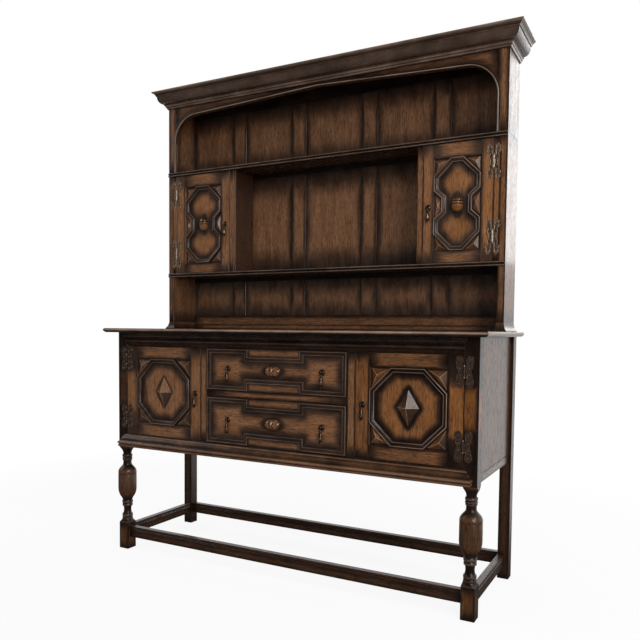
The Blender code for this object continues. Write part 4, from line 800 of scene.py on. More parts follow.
def photo_camera():
    """The camera as it stood for the photo."""
    yaw, pitch, roll = (math.radians(angle) for angle in PHOTO_TURN)
    ahead = Vector((-math.sin(yaw) * math.cos(pitch), math.cos(yaw) * math.cos(pitch), math.sin(pitch)))
    right = Vector((math.cos(yaw), math.sin(yaw), 0))
    up = right.cross(ahead)
    across = math.cos(roll) * right + math.sin(roll) * up
    above = math.cos(roll) * up - math.sin(roll) * right
    lens = bpy.data.cameras.new("photo_camera")
    lens.sensor_width = SENSOR
    lens.lens = PHOTO_FOCUS / PHOTO_SIDE * SENSOR
    lens.shift_y = (PHOTO_AXIS - PHOTO_SIDE / 2) / PHOTO_SIDE
    lens.clip_end = 60.0
    camera = bpy.data.objects.new("photo_camera", lens)
    turned = Matrix((across, above, -ahead)).transposed().to_4x4()
    camera.matrix_world = Matrix.Translation(PHOTO_PLACE) @ turned
    return camera


def softbox(name, place, aim, size, power):
    """A soft lamp."""
    light = bpy.data.lights.new(name, "AREA")
    light.shape = "RECTANGLE"
    light.size, light.size_y = size
    light.energy = power
    lamp = bpy.data.objects.new(name, light)
    lamp.location = place
    lamp.rotation_euler = (Vector(aim) - Vector(place)).to_track_quat("-Z", "Y").to_euler()
    return lamp


def pale_studio():
    """The room: a pale backdrop stands behind the dresser, and in front of it the room is dimmer."""
    world = bpy.data.worlds.new("pale_studio")
    world.use_nodes = True
    tree = world.node_tree
    tree.nodes.clear()
    rays = add_node(tree, "ShaderNodeLightPath")
    heading = add_node(tree, "ShaderNodeTexCoord").outputs["Generated"]
    depth = add_node(tree, "ShaderNodeSeparateXYZ", {0: heading}).outputs[1]
    mirrored = remap(tree, depth, -0.05, 0.6, 0.03, 0.95, "SMOOTHSTEP")
    seen = maths(tree, "MAXIMUM", rays.outputs["Is Camera Ray"], rays.outputs["Is Transmission Ray"])
    plain = add_node(tree, "ShaderNodeMix", {
        "Factor": rays.outputs["Is Glossy Ray"], 2: 0.48, 3: mirrored})
    level = add_node(tree, "ShaderNodeMix", {"Factor": seen, 2: plain.outputs[0], 3: 1.0})
    sky = add_node(tree, "ShaderNodeBackground", {"Color": (1, 1, 1, 1), "Strength": level.outputs[0]})
    add_node(tree, "ShaderNodeOutputWorld", {"Surface": sky.outputs[0]})
    return world


def white_paper():
    """The floor's paper. Far off it is as white as the backdrop, and its mirror image is bright only
    behind the dresser."""
    material = bpy.data.materials.new("floor_white_paper")
    material.use_nodes = True
    tree = material.node_tree
    tree.nodes.clear()
    rays = add_node(tree, "ShaderNodeLightPath")
    paper = add_node(tree, "ShaderNodeBsdfDiffuse", {"Color": (0.8, 0.8, 0.8, 1)})
    mirrored = rays.outputs["Is Glossy Ray"]
    place = add_node(tree, "ShaderNodeTexCoord").outputs["Object"]
    behind = add_node(tree, "ShaderNodeSeparateXYZ", {0: place}).outputs[1]
    away = add_node(tree, "ShaderNodeVectorMath", {0: place}, operation="LENGTH").outputs["Value"]
    seen = remap(tree, away, 1.6, 4.5, 1.03, 1.16, "SMOOTHSTEP")
    image = remap(tree, behind, 0.2, 1.6, 0.08, 0.95, "SMOOTHSTEP")
    strength = add_node(tree, "ShaderNodeMix", {"Factor": mirrored, 2: seen, 3: image}).outputs[0]
    glow = add_node(tree, "ShaderNodeEmission", {"Color": (1, 1, 1, 1), "Strength": strength})
    share = maths(tree, "MULTIPLY", rays.outputs["Is Camera Ray"], 0.86)
    share = maths(tree, "MAXIMUM", share, mirrored)
    blend = add_node(tree, "ShaderNodeMixShader", {0: share, 1: paper.outputs[0], 2: glow.outputs[0]})
    add_node(tree, "ShaderNodeOutputMaterial", {"Surface": blend.outputs[0]})
    return material


class DRESSER_OT_stage(bpy.types.Operator):
    """Sets up the camera, the soft studio light, the pale backdrop and the floor"""
    bl_idname = "dresser.stage"
    bl_label = "Stage"

    def execute(self, context):
        scene = context.scene
        scene.view_settings.view_transform = "Standard"
        scene.camera = photo_camera()
        scene.collection.objects.link(scene.camera)
        for row in SOFTBOXES:
            scene.collection.objects.link(softbox(*row))
        scene.world = pale_studio()
        mesh = bpy.data.meshes.new("floor")
        corners = [(x * FLOOR_REACH, y * FLOOR_REACH, 0) for x, y in ((-1, -1), (1, -1), (1, 1), (-1, 1))]
        mesh.from_pydata(corners, [], [(0, 1, 2, 3)])
        mesh.materials.append(white_paper())
        floor = bpy.data.objects.new("floor", mesh)
        scene.collection.objects.link(floor)
        return {"FINISHED"}


class DRESSER_OT_working_top(bpy.types.Operator):
    """Makes the working top of two joined boards with a rounded edge"""
    bl_idname = "dresser.working_top"
    bl_label = "Working top"

    def execute(self, context):
        low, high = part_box("top_board")
        stock = Stock("working_top", "oak")
        # Distance in from the edge, share of the thickness, rubbed: a thumb-nail edge, hollow below.
        # The rubbed rows paint a highlight along the nose's round, and the hollow is painted dark as shade.
        nose = ((0.0085, 0.0, 0.0), (0.0060, 0.10, 0.0), (0.0030, 0.26, 0.0), (0.0010, 0.40, 0.05),
                (0.0, 0.52, 0.5), (0.0, 0.72, 1.0), (0.0008, 0.84, 0.7), (0.0028, 0.90, 0.1))
        rings = []
        for step, up, _ in nose:
            z = low.z + (high.z - low.z) * up
            x, y = high.x - step, low.y + step
            rings.append([(-x, y, z), (x, y, z), (x, high.y, z), (-x, high.y, z)])
        tones = [0.05 + 0.75 * rubbed for _, _, rubbed in nose for _ in range(4)]
        worn = [rubbed for _, _, rubbed in nose for _ in range(4)]
        stock.loft(rings, ALONG_X, tones, worn, True)
        step, skin = sizes().nosing * 0.6, 0.003
        stock.board((low.x + step, low.y + step, high.z - skin), (high.x - step, high.y, high.z), ALONG_X,
                    fade=(0.09, 0.07))
        stock.piece("case", "top_board")
        return {"FINISHED"}


# The turned part of a front leg: (distance from its block, radius, rubbed).
UPPER_TURNING = (
    (0.0, 0.0316, 0.5), (0.0015, 0.0312, 0.3), (0.005, 0.0290, 0.1), (0.0085, 0.0262, 0),
    (0.012, 0.0235, 0), (0.016, 0.0207, 0), (0.020, 0.0185, 0), (0.024, 0.0170, 0), (0.028, 0.0162, 0),
    (0.034, 0.0164, 0), (0.0348, 0.0190, 0.1), (0.036, 0.0197, 0.5), (0.039, 0.0199, 0.9),
    (0.042, 0.0197, 0.5), (0.0435, 0.0188, 0), (0.045, 0.0170, 0), (0.0468, 0.0188, 0.2),
    (0.048, 0.0197, 0.6), (0.051, 0.0197, 0.6), (0.0525, 0.0186, 0), (0.0535, 0.0172, 0),
    (0.0545, 0.0184, 0.3), (0.0565, 0.0189, 0.7), (0.0585, 0.0184, 0.2), (0.060, 0.0164, 0),
    (0.064, 0.0161, 0), (0.068, 0.0163, 0), (0.072, 0.0167, 0), (0.076, 0.0177, 0), (0.079, 0.0197, 0),
    (0.082, 0.0225, 0), (0.085, 0.0253, 0), (0.088, 0.0280, 0), (0.091, 0.0304, 0.1),
    (0.094, 0.0325, 0.2), (0.097, 0.0340, 0.3), (0.100, 0.0351, 0.4), (0.1045, 0.0357, 0.3),
    (0.109, 0.0358, 0.2), (0.1103, 0.0354, 0.1), (0.1108, 0.0341, 0), (0.1122, 0.0341, 0),
    (0.1128, 0.0354, 0.1), (0.114, 0.0358, 0.2))
LOWER_TURNING = (
    (0.0, 0.0316, 0.5), (0.0015, 0.0308, 0.3), (0.005, 0.0265, 0.1), (0.009, 0.0222, 0),
    (0.0115, 0.0210, 0), (0.014, 0.0206, 0.3), (0.018, 0.0208, 0.5), (0.0198, 0.0200, 0.1),
    (0.021, 0.0185, 0), (0.0225, 0.0196, 0.2), (0.025, 0.0204, 0.5), (0.029, 0.0206, 0.9),
    (0.033, 0.0203, 0.4), (0.035, 0.0190, 0), (0.037, 0.0167, 0), (0.041, 0.0154, 0),
    (0.045, 0.0147, 0), (0.0495, 0.0143, 0), (0.054, 0.0143, 0), (0.058, 0.0147, 0), (0.062, 0.0156, 0),
    (0.0645, 0.0172, 0), (0.066, 0.0192, 0.1), (0.0675, 0.0200, 0.5), (0.0705, 0.0203, 0.9),
    (0.0735, 0.0200, 0.4), (0.075, 0.0190, 0), (0.0765, 0.0183, 0), (0.0778, 0.0199, 0.1),
    (0.080, 0.0209, 0.5), (0.083, 0.0212, 0.9), (0.086, 0.0209, 0.4), (0.0885, 0.0199, 0),
    (0.090, 0.0190, 0), (0.093, 0.0192, 0), (0.096, 0.0201, 0), (0.099, 0.0216, 0), (0.102, 0.0236, 0),
    (0.106, 0.0262, 0), (0.110, 0.0288, 0), (0.1145, 0.0309, 0), (0.119, 0.0325, 0),
    (0.1245, 0.0339, 0.1), (0.130, 0.0350, 0.1), (0.1355, 0.0355, 0.1), (0.141, 0.0358, 0.2))
LEG_CENTRE = 0.7035               # from the dresser's middle
LEG_ROUND = 0.0358                # the turned part's greatest radius
LEG_HALF = 0.0225                 # half the width of its square blocks
FOOT_TOP = 0.105
POST_BOTTOM = 0.415
SHOULDER = 0.010
TURNING_WEAR = 0.25               # how far the rubbed rings of the table are rubbed on this dresser


class DRESSER_OT_front_legs(bpy.types.Operator):
    """Makes the turned front legs, with their square foot blocks and the posts up to the working top"""
    bl_idname = "dresser.front_legs"
    bl_label = "Front legs"

    def execute(self, context):
        for side, sign in SIDES:
            low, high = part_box("front_leg_" + side)
            centre = (sign * LEG_CENTRE, low.y + LEG_ROUND)
            x0, x1 = centre[0] - LEG_HALF, centre[0] + LEG_HALF
            y0, y1 = centre[1] - LEG_HALF, centre[1] + LEG_HALF
            stock = Stock("front_leg_turned_" + side, "oak_dark").aged(0.25, 0.8)
            stock.board((x0, y0, 0), (x1, y1, FOOT_TOP), ALONG_Z, fade=(0.05, 0.012))
            stock.aged(0.5 if sign > 0 else 0.0)
            inner, outer = 0.002, 0.020
            # The post is rubbed between the door's hinges.
            tones = ((POST_BOTTOM, 0.1), (0.575, 0.1), (0.61, 0.9), (0.695, 0.9), (0.725, 0.1),
                     (high.z, 0.05))
            fade = (0.05, inner, outer) if sign > 0 else (0.05, outer, inner)
            stock.board((x0, y0, POST_BOTTOM), (x1, y1, high.z), ALONG_Z, fade=fade, tones=tones)
            stock.aged(0.12)
            rows = [(FOOT_TOP + h, r, w * TURNING_WEAR) for h, r, w in LOWER_TURNING]
            rows += [(POST_BOTTOM - h, r, w * TURNING_WEAR) for h, r, w in reversed(UPPER_TURNING)]
            # The vase and its shoulder are rubbed brown, and the thin neck parts stay dark.
            shade = [max(0.1, min(0.7, (r - 0.021) / 0.0165)) + 0.2 * w for _, r, w in rows]
            square = ((FOOT_TOP - 0.001, FOOT_TOP + SHOULDER, LEG_HALF),
                      (POST_BOTTOM - SHOULDER, POST_BOTTOM + 0.001, LEG_HALF))
            turn(stock, rows, Matrix.Translation((*centre, 0)), edges=shade, square=square)
            stock.piece("case", "front_leg_" + side)
        return {"FINISHED"}


class DRESSER_OT_rear_legs(bpy.types.Operator):
    """Makes the square rear legs and the four stretchers with their scratched lines"""
    bl_idname = "dresser.rear_legs"
    bl_label = "Rear legs and stretchers"

    def execute(self, context):
        groove = sizes().groove
        for side, _ in SIDES:
            low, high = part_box("rear_leg_" + side)
            stock = Stock("rear_post_" + side, "oak_dark")
            stock.board(low, high, ALONG_Z, fade=(0.08, 0.02))
            stock.piece("case", "rear_leg_" + side)
        for name in ("front", "rear", "left", "right"):
            low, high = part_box("stretcher_" + name)
            grain = ALONG_X if name in ("front", "rear") else ALONG_Y
            across = 1 - grain
            inner_low, inner_high = low.copy(), high.copy()
            inner_low[across] += groove
            inner_high[across] -= groove
            inner_high.z -= 0.002
            stock = Stock("stretcher_rail_" + name, "oak_dark")
            stock.board(inner_low, inner_high, grain, level=0.15)
            # Two lines are scratched below the upper edge, between these bands.
            for start, stop in ((0.0, 0.0075), (0.0095, 0.0125), (0.0145, high.z - low.z)):
                band_low, band_high = low.copy(), high.copy()
                band_low.z, band_high.z = high.z - stop, high.z - start
                stock.board(band_low, band_high, grain, fade=(0.06, 0.018))
            stock.piece("case", "stretcher_" + name)
        return {"FINISHED"}


class DRESSER_OT_case_sides(bpy.types.Operator):
    """Makes the sides, the back and the inner boards of the lower case"""
    bl_idname = "dresser.case_sides"
    bl_label = "Case sides and back"

    def execute(self, context):
        rail_top, panel_bottom, groove, half_runner = 0.4485, 0.4515, 0.002, 0.009
        for side, _ in SIDES:
            low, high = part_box("base_side_" + side)
            stock = Stock("case_side_" + side, "oak")
            core_low, core_high = low.copy(), high.copy()
            core_low.x += groove
            core_high.x -= groove
            stock.board(core_low, core_high, ALONG_Y, level=0.1)
            stock.board(low, (high.x, high.y, rail_top), ALONG_Y, fade=(0.05, 0.02))
            stock.board((low.x, low.y, panel_bottom), high, ALONG_Z, level=0.5)
            stock.piece("case", "base_side_" + side)
            low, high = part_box("partition_" + side)
            stock = Stock("partition_and_muntin_" + side, "oak")
            front = low.y + RAIL_THICKNESS
            stock.board(low, (high.x, front, 0.8179), ALONG_Z, fade=(0.05, 0.005))
            middle = (low.x + high.x) / 2
            stock.board((middle - half_runner, front, low.z), (middle + half_runner, high.y, high.z),
                        ALONG_Y, level=0.4)
            stock.piece("case", "partition_" + side)
        low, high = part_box("base_back")
        stock = Stock("case_back_boards", "oak_dark")
        stock.boards((low.x, high.x), (low.y, high.y), (low.z, high.z), 6, (0.05, 0.05))
        stock.piece("case", "base_back")
        return {"FINISHED"}


def rail_moulding(stock, half, rail_front, section, z, **looks):
    """Runs a moulding along a rail, returned at both ends. Its section is in metres."""
    face = rail_front - JOINT
    path = ((-half, rail_front), (-half, face), (half, face), (half, rail_front))
    run_moulding(stock, path, False, section, 1.0, 1.0, at_height(z), **looks)


class DRESSER_OT_case_front(bpy.types.Operator):
    """Makes the rails of the lower case with their mouldings, its bottom and the drawer divider"""
    bl_idname = "dresser.case_front"
    bl_label = "Case rails and mouldings"

    def execute(self, context):
        low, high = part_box("base_bottom")
        rail_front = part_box("drawer_divider")[0].y
        rail_back = rail_front + RAIL_THICKNESS
        rail_bottom, moulding_bottom, board_half, board_thickness = 0.4225, 0.4185, 0.7065, 0.012
        stock = Stock("bottom_rail_with_moulding", "oak_dark")
        stock.board((-POST_INNER, rail_front, rail_bottom), (POST_INNER, rail_back, high.z), ALONG_X,
                    fade=(0.06, 0.02))
        stock.board((-board_half, rail_back + 0.0005, high.z - board_thickness),
                    (board_half, high.y, high.z), ALONG_X, level=0.3)
        stock.aged(0.5)
        rail_moulding(stock, 0.687, rail_front, BOTTOM_SECTION, moulding_bottom, tone=0.3, worn=0.4)
        stock.piece("case", "base_bottom")

        low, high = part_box("top_rail")
        stock = Stock("top_rail_with_moulding", "oak_dark")
        stock.board((-POST_INNER, rail_front, low.z), (POST_INNER, rail_back, high.z), ALONG_X,
                    fade=(0.06, 0.02))
        rail_moulding(stock, 0.672, rail_front, TOP_SECTION, 0.829)
        stock.piece("case", "top_rail")

        low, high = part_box("drawer_divider")
        stock = Stock("drawer_rail_and_dust_board", "oak")
        stock.board(low, (high.x, rail_back, high.z), ALONG_X, fade=(0.19, 0.012))
        board_bottom, board_top = 0.656, 0.664
        stock.board((low.x, rail_back - 0.0005, board_bottom), (high.x, high.y, board_top), ALONG_X,
                    level=0.4)
        stock.piece("case", "drawer_divider")
        return {"FINISHED"}


def octagon(x_span, z_span):
    """An octagon that touches the four sides of its opening."""
    x0, x1 = x_span
    z0, z1 = z_span
    corner = min(x1 - x0, z1 - z0) * (1 - 1 / (1 + math.sqrt(2))) / 2
    return [(x0 + corner, z0), (x1 - corner, z0), (x1, z0 + corner), (x1, z1 - corner),
            (x1 - corner, z1), (x0 + corner, z1), (x0, z1 - corner), (x0, z0 + corner)]


def double_octagon(x_span, z_span):
    """Two octagons, one above the other, run together at a waist."""
    x0, x1 = x_span
    z0, z1 = z_span
    corner, waist = 0.060, 0.029
    middle, half = (z0 + z1) / 2, 0.023
    end = half + waist * 0.90
    right = [(x1 - corner, z0), (x1, z0 + corner), (x1, middle - end), (x1 - waist, middle - half),
             (x1 - waist, middle + half), (x1, middle + end), (x1, z1 - corner), (x1 - corner, z1)]
    return right + [(x0 + x1 - x, z) for x, z in reversed(right)]


def shrunk(polygon, gap):
    """A polygon drawn in towards its middle, and that middle."""
    middle = Vector(sum(values) / len(polygon) for values in zip(*polygon))
    nearest = float(to_polygon(np.array([middle]), polygon)[0])
    return [tuple(middle.lerp(Vector(p), 1 - gap / nearest)) for p in polygon], tuple(middle)


# How the doors have aged, left and right, in the order that Stock.aged takes. The third value is painted
# sheen.
BASE_FRAME_AGE = {"left": (0.25, 1.0, 0.05), "right": (0.85, 0.72, 0.0)}
BASE_PANEL_AGE = {"left": (0.15, 1.0, 0.05), "right": (0.6, 0.74, 0.0)}
RACK_FRAME_AGE = {"left": (0.3, 1.0, 0.06), "right": (0.55, 1.0, 0.09)}
RACK_PANEL_AGE = {"left": (0.3, 1.0, 0.06), "right": (0.5, 1.1, 0.08)}
ACORN_AGE = {"left": (0.1, 1.5), "right": (0.5, 1.5)}
# How far the doors' mouldings are rubbed pale: partly wear, partly a painted highlight.
BASE_BEAD_WEAR = {"left": 0.6, "right": 0.85}
RACK_BEAD_WEAR = {"left": 0.65, "right": 0.9}


def door_frame(stock, sign, x_span, z_span, opening_x, opening_z, face, hinge_reach, dim):
    """Two stiles with two rails between them, each shaded as its own board. The stile with the
    hinges stays dark round them, as far as dim says, and is rubbed golden between them."""
    back, golden = face + FRONT_THICKNESS, stock.golden
    z0, z1 = z_span
    far, near = hinge_reach, hinge_reach * 0.65
    tones = ((z0, dim), (z0 + near, dim + 0.15), (z0 + far, 1.0), (z1 - far, 1.0),
             (z1 - near, dim + 0.15), (z1, dim))
    for x0, x1, outer in ((x_span[0], opening_x[0], -1), (opening_x[1], x_span[1], 1)):
        hinged = outer == sign
        stock.golden = golden if hinged else golden * 0.6
        fade = (0.05, 0.003, 0.013) if outer < 0 else (0.05, 0.013, 0.003)
        stock.board((x0, face, z0), (x1, back, z1), ALONG_Z, fade=fade, tones=tones if hinged else None)
    stock.golden = golden * 0.25
    # The rails run a little way over the stiles' eased edges, so that no groove shows at the joints.
    lap, x0, x1 = 0.0001, opening_x[0] - 0.0015, opening_x[1] + 0.0015
    stock.board((x0, face - lap, z0), (x1, back, opening_z[0]), ALONG_X, fade=(0.06, 0.003, 0.014))
    stock.board((x0, face - lap, opening_z[1]), (x1, back, z1), ALONG_X, fade=(0.06, 0.014, 0.003))


def corner_blocks(stock, outline, x_span, z_span, foot):
    """Three-sided pyramids in the corners outside a moulding."""
    for x_edge in x_span:
        for z_edge in z_span:
            by_rail = [p for p in outline if abs(p[1] - z_edge) < 0.001]
            by_stile = [p for p in outline if abs(p[0] - x_edge) < 0.001]
            on_rail = min(by_rail, key=lambda p: abs(p[0] - x_edge))
            on_stile = min(by_stile, key=lambda p: abs(p[1] - z_edge))
            base, middle = shrunk([(x_edge, z_edge), on_rail, on_stile], BLOCK_GAP)
            # Each facet takes its own painted light or shade.
            stock.facets(base, middle, foot, BLOCK_RISE, ALONG_Z, (0.45, 0.65, 0.36))


def panel_spans(opening_x, opening_z):
    """A panel's spans in its frame's opening, then the spans within its edges."""
    spans = inset(opening_x, JOINT), inset(opening_z, JOINT)
    return (*spans, *(inset(span, EDGE_STEP) for span in spans))


def door_panel(stock, outline, panel_x, panel_z, front, shade, worn):
    """A door's panel with its moulding, and the blocks in the corners outside it."""
    columns = columns_of(panel_x, *panel_z, PANEL_STEP)
    stock.field(columns, front, front + PANEL_THICKNESS, ALONG_Z, shade)
    run_moulding(stock, outline, True, DOOR_SECTION, -BEAD_WIDTH, BEAD_RISE, on_front(front), worn=worn)
    corner_blocks(stock, outline, panel_x, panel_z, front)


def egg(stock, centre, size, foot, upright):
    """A half-round boss. The drawers' have a band between two cups, and the doors' is an acorn."""
    lines = (0.02, 0.30) if upright else (-0.17, 0.17)
    fullness, line_depth, line_width, steps = 0.86, 0.16, 0.07, 44
    rows, shade = [], []
    for i in range(steps + 1):
        t = -math.cos(math.pi * i / steps)
        radius = math.sqrt(max(0.0, 1 - t * t)) ** fullness
        if upright and t < lines[0]:
            radius *= 1 - 0.10 * (lines[0] - t)          # the nut tapers below its cup
        cut = max(0.0, 1 - min(abs(t - line) for line in lines) / line_width)
        rows.append((t, radius * (1 - line_depth * cut), 0.0))
        ground = 0.5 if upright and t > lines[1] else 0.85
        shade.append(ground - 0.9 * cut - 0.6 * max(0.0, abs(t) - 0.6) / 0.4)
    long, wide = (size[1], size[0]) if upright else (size[0], size[1])
    stretch = Matrix.Diagonal((wide / 2, size[2], long / 2, 1))
    swing = Matrix.Identity(4) if upright else Matrix.Rotation(QUARTER_TURN, 4, "Y")
    place = Matrix.Translation((centre[0], foot, centre[1])) @ swing @ stretch
    first = len(stock.points)
    turn(stock, rows, place, sides=40, grain=ALONG_Z if upright else ALONG_X, edges=shade)
    for i in range(first, len(stock.points)):
        x, y, z = stock.points[i]
        if y > foot:                    # the back half is pressed nearly flat, inside the panel
            stock.points[i] = (x, foot + (y - foot) * 0.15, z)


class DRESSER_OT_base_doors(bpy.types.Operator):
    """Makes the lower doors: frames, and panels with an octagonal moulding round a diamond"""
    bl_idname = "dresser.base_doors"
    bl_label = "Lower doors"

    def execute(self, context):
        inner_edge, opening, rail = 0.3175, (0.3675, 0.6295), 0.046
        for side, sign in SIDES:
            body = "base_door_" + side
            frame_low, frame_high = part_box(body + "_frame")
            x_span, z_span = between(sign, inner_edge, DOOR_EDGE), (frame_low.z, frame_high.z)
            opening_x, opening_z = between(sign, *opening), inset(z_span, rail)
            stock = Stock("lower_door_frame_" + side, "oak").aged(*BASE_FRAME_AGE[side])
            door_frame(stock, sign, x_span, z_span, opening_x, opening_z, CASE_FRONT, 0.125, 0.08)
            stock.piece(body, body + "_frame")

            front = CASE_FRONT + PANEL_BACK
            stock = Stock("lower_door_panel_" + side, "oak_panel").aged(*BASE_PANEL_AGE[side])
            panel_x, panel_z, edge_x, edge_z = panel_spans(opening_x, opening_z)
            outline = against_clock(octagon(edge_x, edge_z))
            inner = drawn_in(outline, BEAD_WIDTH)
            x, z = sum(panel_x) / 2, sum(panel_z) / 2
            wide, tall = 0.036, 0.058
            diamond = [(x - wide, z), (x, z - tall), (x + wide, z), (x, z + tall)]
            # The left panel is rubbed paler, up to its diamond.
            halo, spread = (0.007, 0.018) if sign > 0 else (0.002, 0.009)

            def shade(points):
                ring = np.minimum((to_polygon(points, diamond) - halo) / spread,
                                  (to_polygon(points, inner) - 0.005) / 0.030)
                return np.where(inside(points, inner), np.clip(ring, 0, 1.05), 0.12)
            door_panel(stock, outline, panel_x, panel_z, front, shade, BASE_BEAD_WEAR[side])
            # The diamond keeps the panel's painted sheen.
            stock.aged(0.1, 1.0, stock.bloom)
            # The diamond's facets are painted lighter or darker as light falls on them: lower left, lower
            # right, upper right, upper left.
            tones = (0.5, 0.3, 0.5, 0.3) if sign > 0 else (0.55, 0.25, 0.9, 0.85)
            stock.facets(diamond, (x, z), front, 0.024, ALONG_Z, tones, 0.0013)
            stock.piece(body, body + "_panel")
        return {"FINISHED"}


class DRESSER_OT_rack_doors(bpy.types.Operator):
    """Makes the upper doors: frames, and panels with a double octagon round an acorn"""
    bl_idname = "dresser.rack_doors"
    bl_label = "Upper doors"

    def execute(self, context):
        # The two cupboards aren't the same width.
        for (side, sign), inner_edge in zip(SIDES, (0.4065, 0.4325)):
            body = "rack_door_" + side
            frame_low, frame_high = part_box(body + "_frame")
            x_span, z_span = between(sign, inner_edge, DOOR_EDGE), (frame_low.z, frame_high.z)
            wide, bottom_rail, top_rail = DOOR_EDGE - inner_edge, 0.040, 0.050
            inner_stile, outer_stile = wide * 0.153, wide * 0.168
            opening_x = between(sign, inner_edge + inner_stile, DOOR_EDGE - outer_stile)
            opening_z = (z_span[0] + bottom_rail, z_span[1] - top_rail)
            stock = Stock("upper_door_frame_" + side, "oak").aged(*RACK_FRAME_AGE[side])
            door_frame(stock, sign, x_span, z_span, opening_x, opening_z, RACK_FRONT, 0.07, 0.35)
            stock.piece(body, body + "_frame")

            front = RACK_FRONT + PANEL_BACK
            stock = Stock("upper_door_panel_" + side, "oak_panel").aged(*RACK_PANEL_AGE[side])
            panel_x, panel_z, edge_x, edge_z = panel_spans(opening_x, opening_z)
            outline = against_clock(double_octagon(edge_x, edge_z))
            inner = drawn_in(outline, BEAD_WIDTH)
            middle = (sum(panel_x) / 2, sum(panel_z) / 2)

            def shade(points):
                across, up = points[:, 0] - middle[0], points[:, 1] - middle[1]
                acorn = np.hypot(across / 0.0195, up / 0.032)
                ring = np.minimum((acorn - 1.25) / 0.5, (to_polygon(points, inner) - 0.003) / 0.030)
                waist = np.abs(up) / 0.055 - 0.25
                return np.where(inside(points, inner), np.clip(np.minimum(ring, waist), 0, 1.05), 0.12)
            door_panel(stock, outline, panel_x, panel_z, front, shade, RACK_BEAD_WEAR[side])
            for x_edge in panel_x:
                near = [p for p in outline if abs(p[0] - x_edge) < (panel_x[1] - panel_x[0]) / 2]
                near.sort(key=lambda p: abs(p[1] - middle[1]))
                waist = sorted(near[:2], key=lambda p: p[1])
                ends = sorted(near[2:4], key=lambda p: p[1])
                base, peak = shrunk([ends[0], waist[0], waist[1], ends[1]], BLOCK_GAP)
                # The waist blocks' facets take painted light and shade, one tone each.
                stock.facets(base, peak, front, BLOCK_RISE, ALONG_Z, (0.6, 0.75, 0.6, 0.5))
            stock.aged(*ACORN_AGE[side])
            egg(stock, middle, (0.041, 0.060, 0.021), front, True)
            stock.piece(body, body + "_panel")
        return {"FINISHED"}


def drawer_box(stock, front, back, bottom, top):
    """A drawer's sides, back and bottom board, behind a front that reaches from bottom to top."""
    outer, wall, foot, edge = 0.2825, 0.010, bottom + 0.002, top - 0.020
    inner = outer - wall
    for x in (-outer, inner):
        stock.board((x, front, foot), (x + wall, back, edge), ALONG_Y, level=0.45)
    stock.board((-inner, back - wall, foot), (inner, back, edge), ALONG_X, level=0.45)
    stock.board((-inner, front, bottom + 0.004), (inner, back - wall, bottom + 0.011), ALONG_X, level=0.5)


class DRESSER_OT_drawers(bpy.types.Operator):
    """Makes the drawers: fronts with a notched moulding and an oval boss, and their boxes"""
    bl_idname = "dresser.drawers"
    bl_label = "Drawers"

    def execute(self, context):
        half, notch, deep, margin, face = 0.2865, 0.106, 0.027, 0.0015, CASE_FRONT
        box_front = face + FRONT_THICKNESS
        for level, (z0, z1) in zip(LEVELS, ((0.470, 0.6385), (0.6655, 0.8167))):
            body = "drawer_" + level
            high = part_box(body)[1]
            # The drawer fronts take a little painted sheen.
            stock = Stock("drawer_front_and_box_" + level, "oak_panel").aged(0.15, bloom=0.04)
            wide, bottom, top = half - margin, z0 + margin, z1 - margin
            outline = against_clock([
                (-wide, bottom), (-notch, bottom), (-notch, bottom + deep),
                (notch, bottom + deep), (notch, bottom), (wide, bottom),
                (wide, top), (notch, top), (notch, top - deep),
                (-notch, top - deep), (-notch, top), (-wide, top)])
            inner = drawn_in(outline, BEAD_WIDTH)
            middle = (z0 + z1) / 2
            blocks = [[(-notch, z0), (notch, z0), (notch, bottom + deep), (-notch, bottom + deep)],
                      [(-notch, top - deep), (notch, top - deep), (notch, z1), (-notch, z1)]]

            def shade(points):
                boss = np.hypot(points[:, 0] / 0.0325, (points[:, 1] - middle) / 0.019)
                field = np.minimum((boss - 1.15) / 0.9, (to_polygon(points, inner) - 0.002) / 0.034)
                value = np.where(inside(points, inner), np.clip(field, 0, 1.0), 0.1)
                for block in blocks:
                    rubbing = np.clip(to_polygon(points, block) / 0.012, 0, 0.8)
                    value = np.where(inside(points, block), rubbing, value)
                return value
            stock.field(columns_of((-half, half), z0, z1), face, box_front, ALONG_X, shade, rows=30)
            run_moulding(stock, outline, True, DOOR_SECTION, -BEAD_WIDTH, 0.006, on_front(face),
                         worn=0.35)
            egg(stock.aged(0.15, 1.5), (0, middle), (0.065, 0.038, 0.019), face, False)
            drawer_box(stock.aged(0.15), box_front, high.y, z0, z1)
            stock.piece(body, body)
        return {"FINISHED"}


# The flared foot of a rack side: (share of its height, share of its spread).
FLARE = ((0.0, 1.0), (0.08, 1.0), (0.16, 0.86), (0.24, 0.70), (0.34, 0.52), (0.45, 0.36), (0.60, 0.20),
         (0.78, 0.07), (1.0, 0.0))


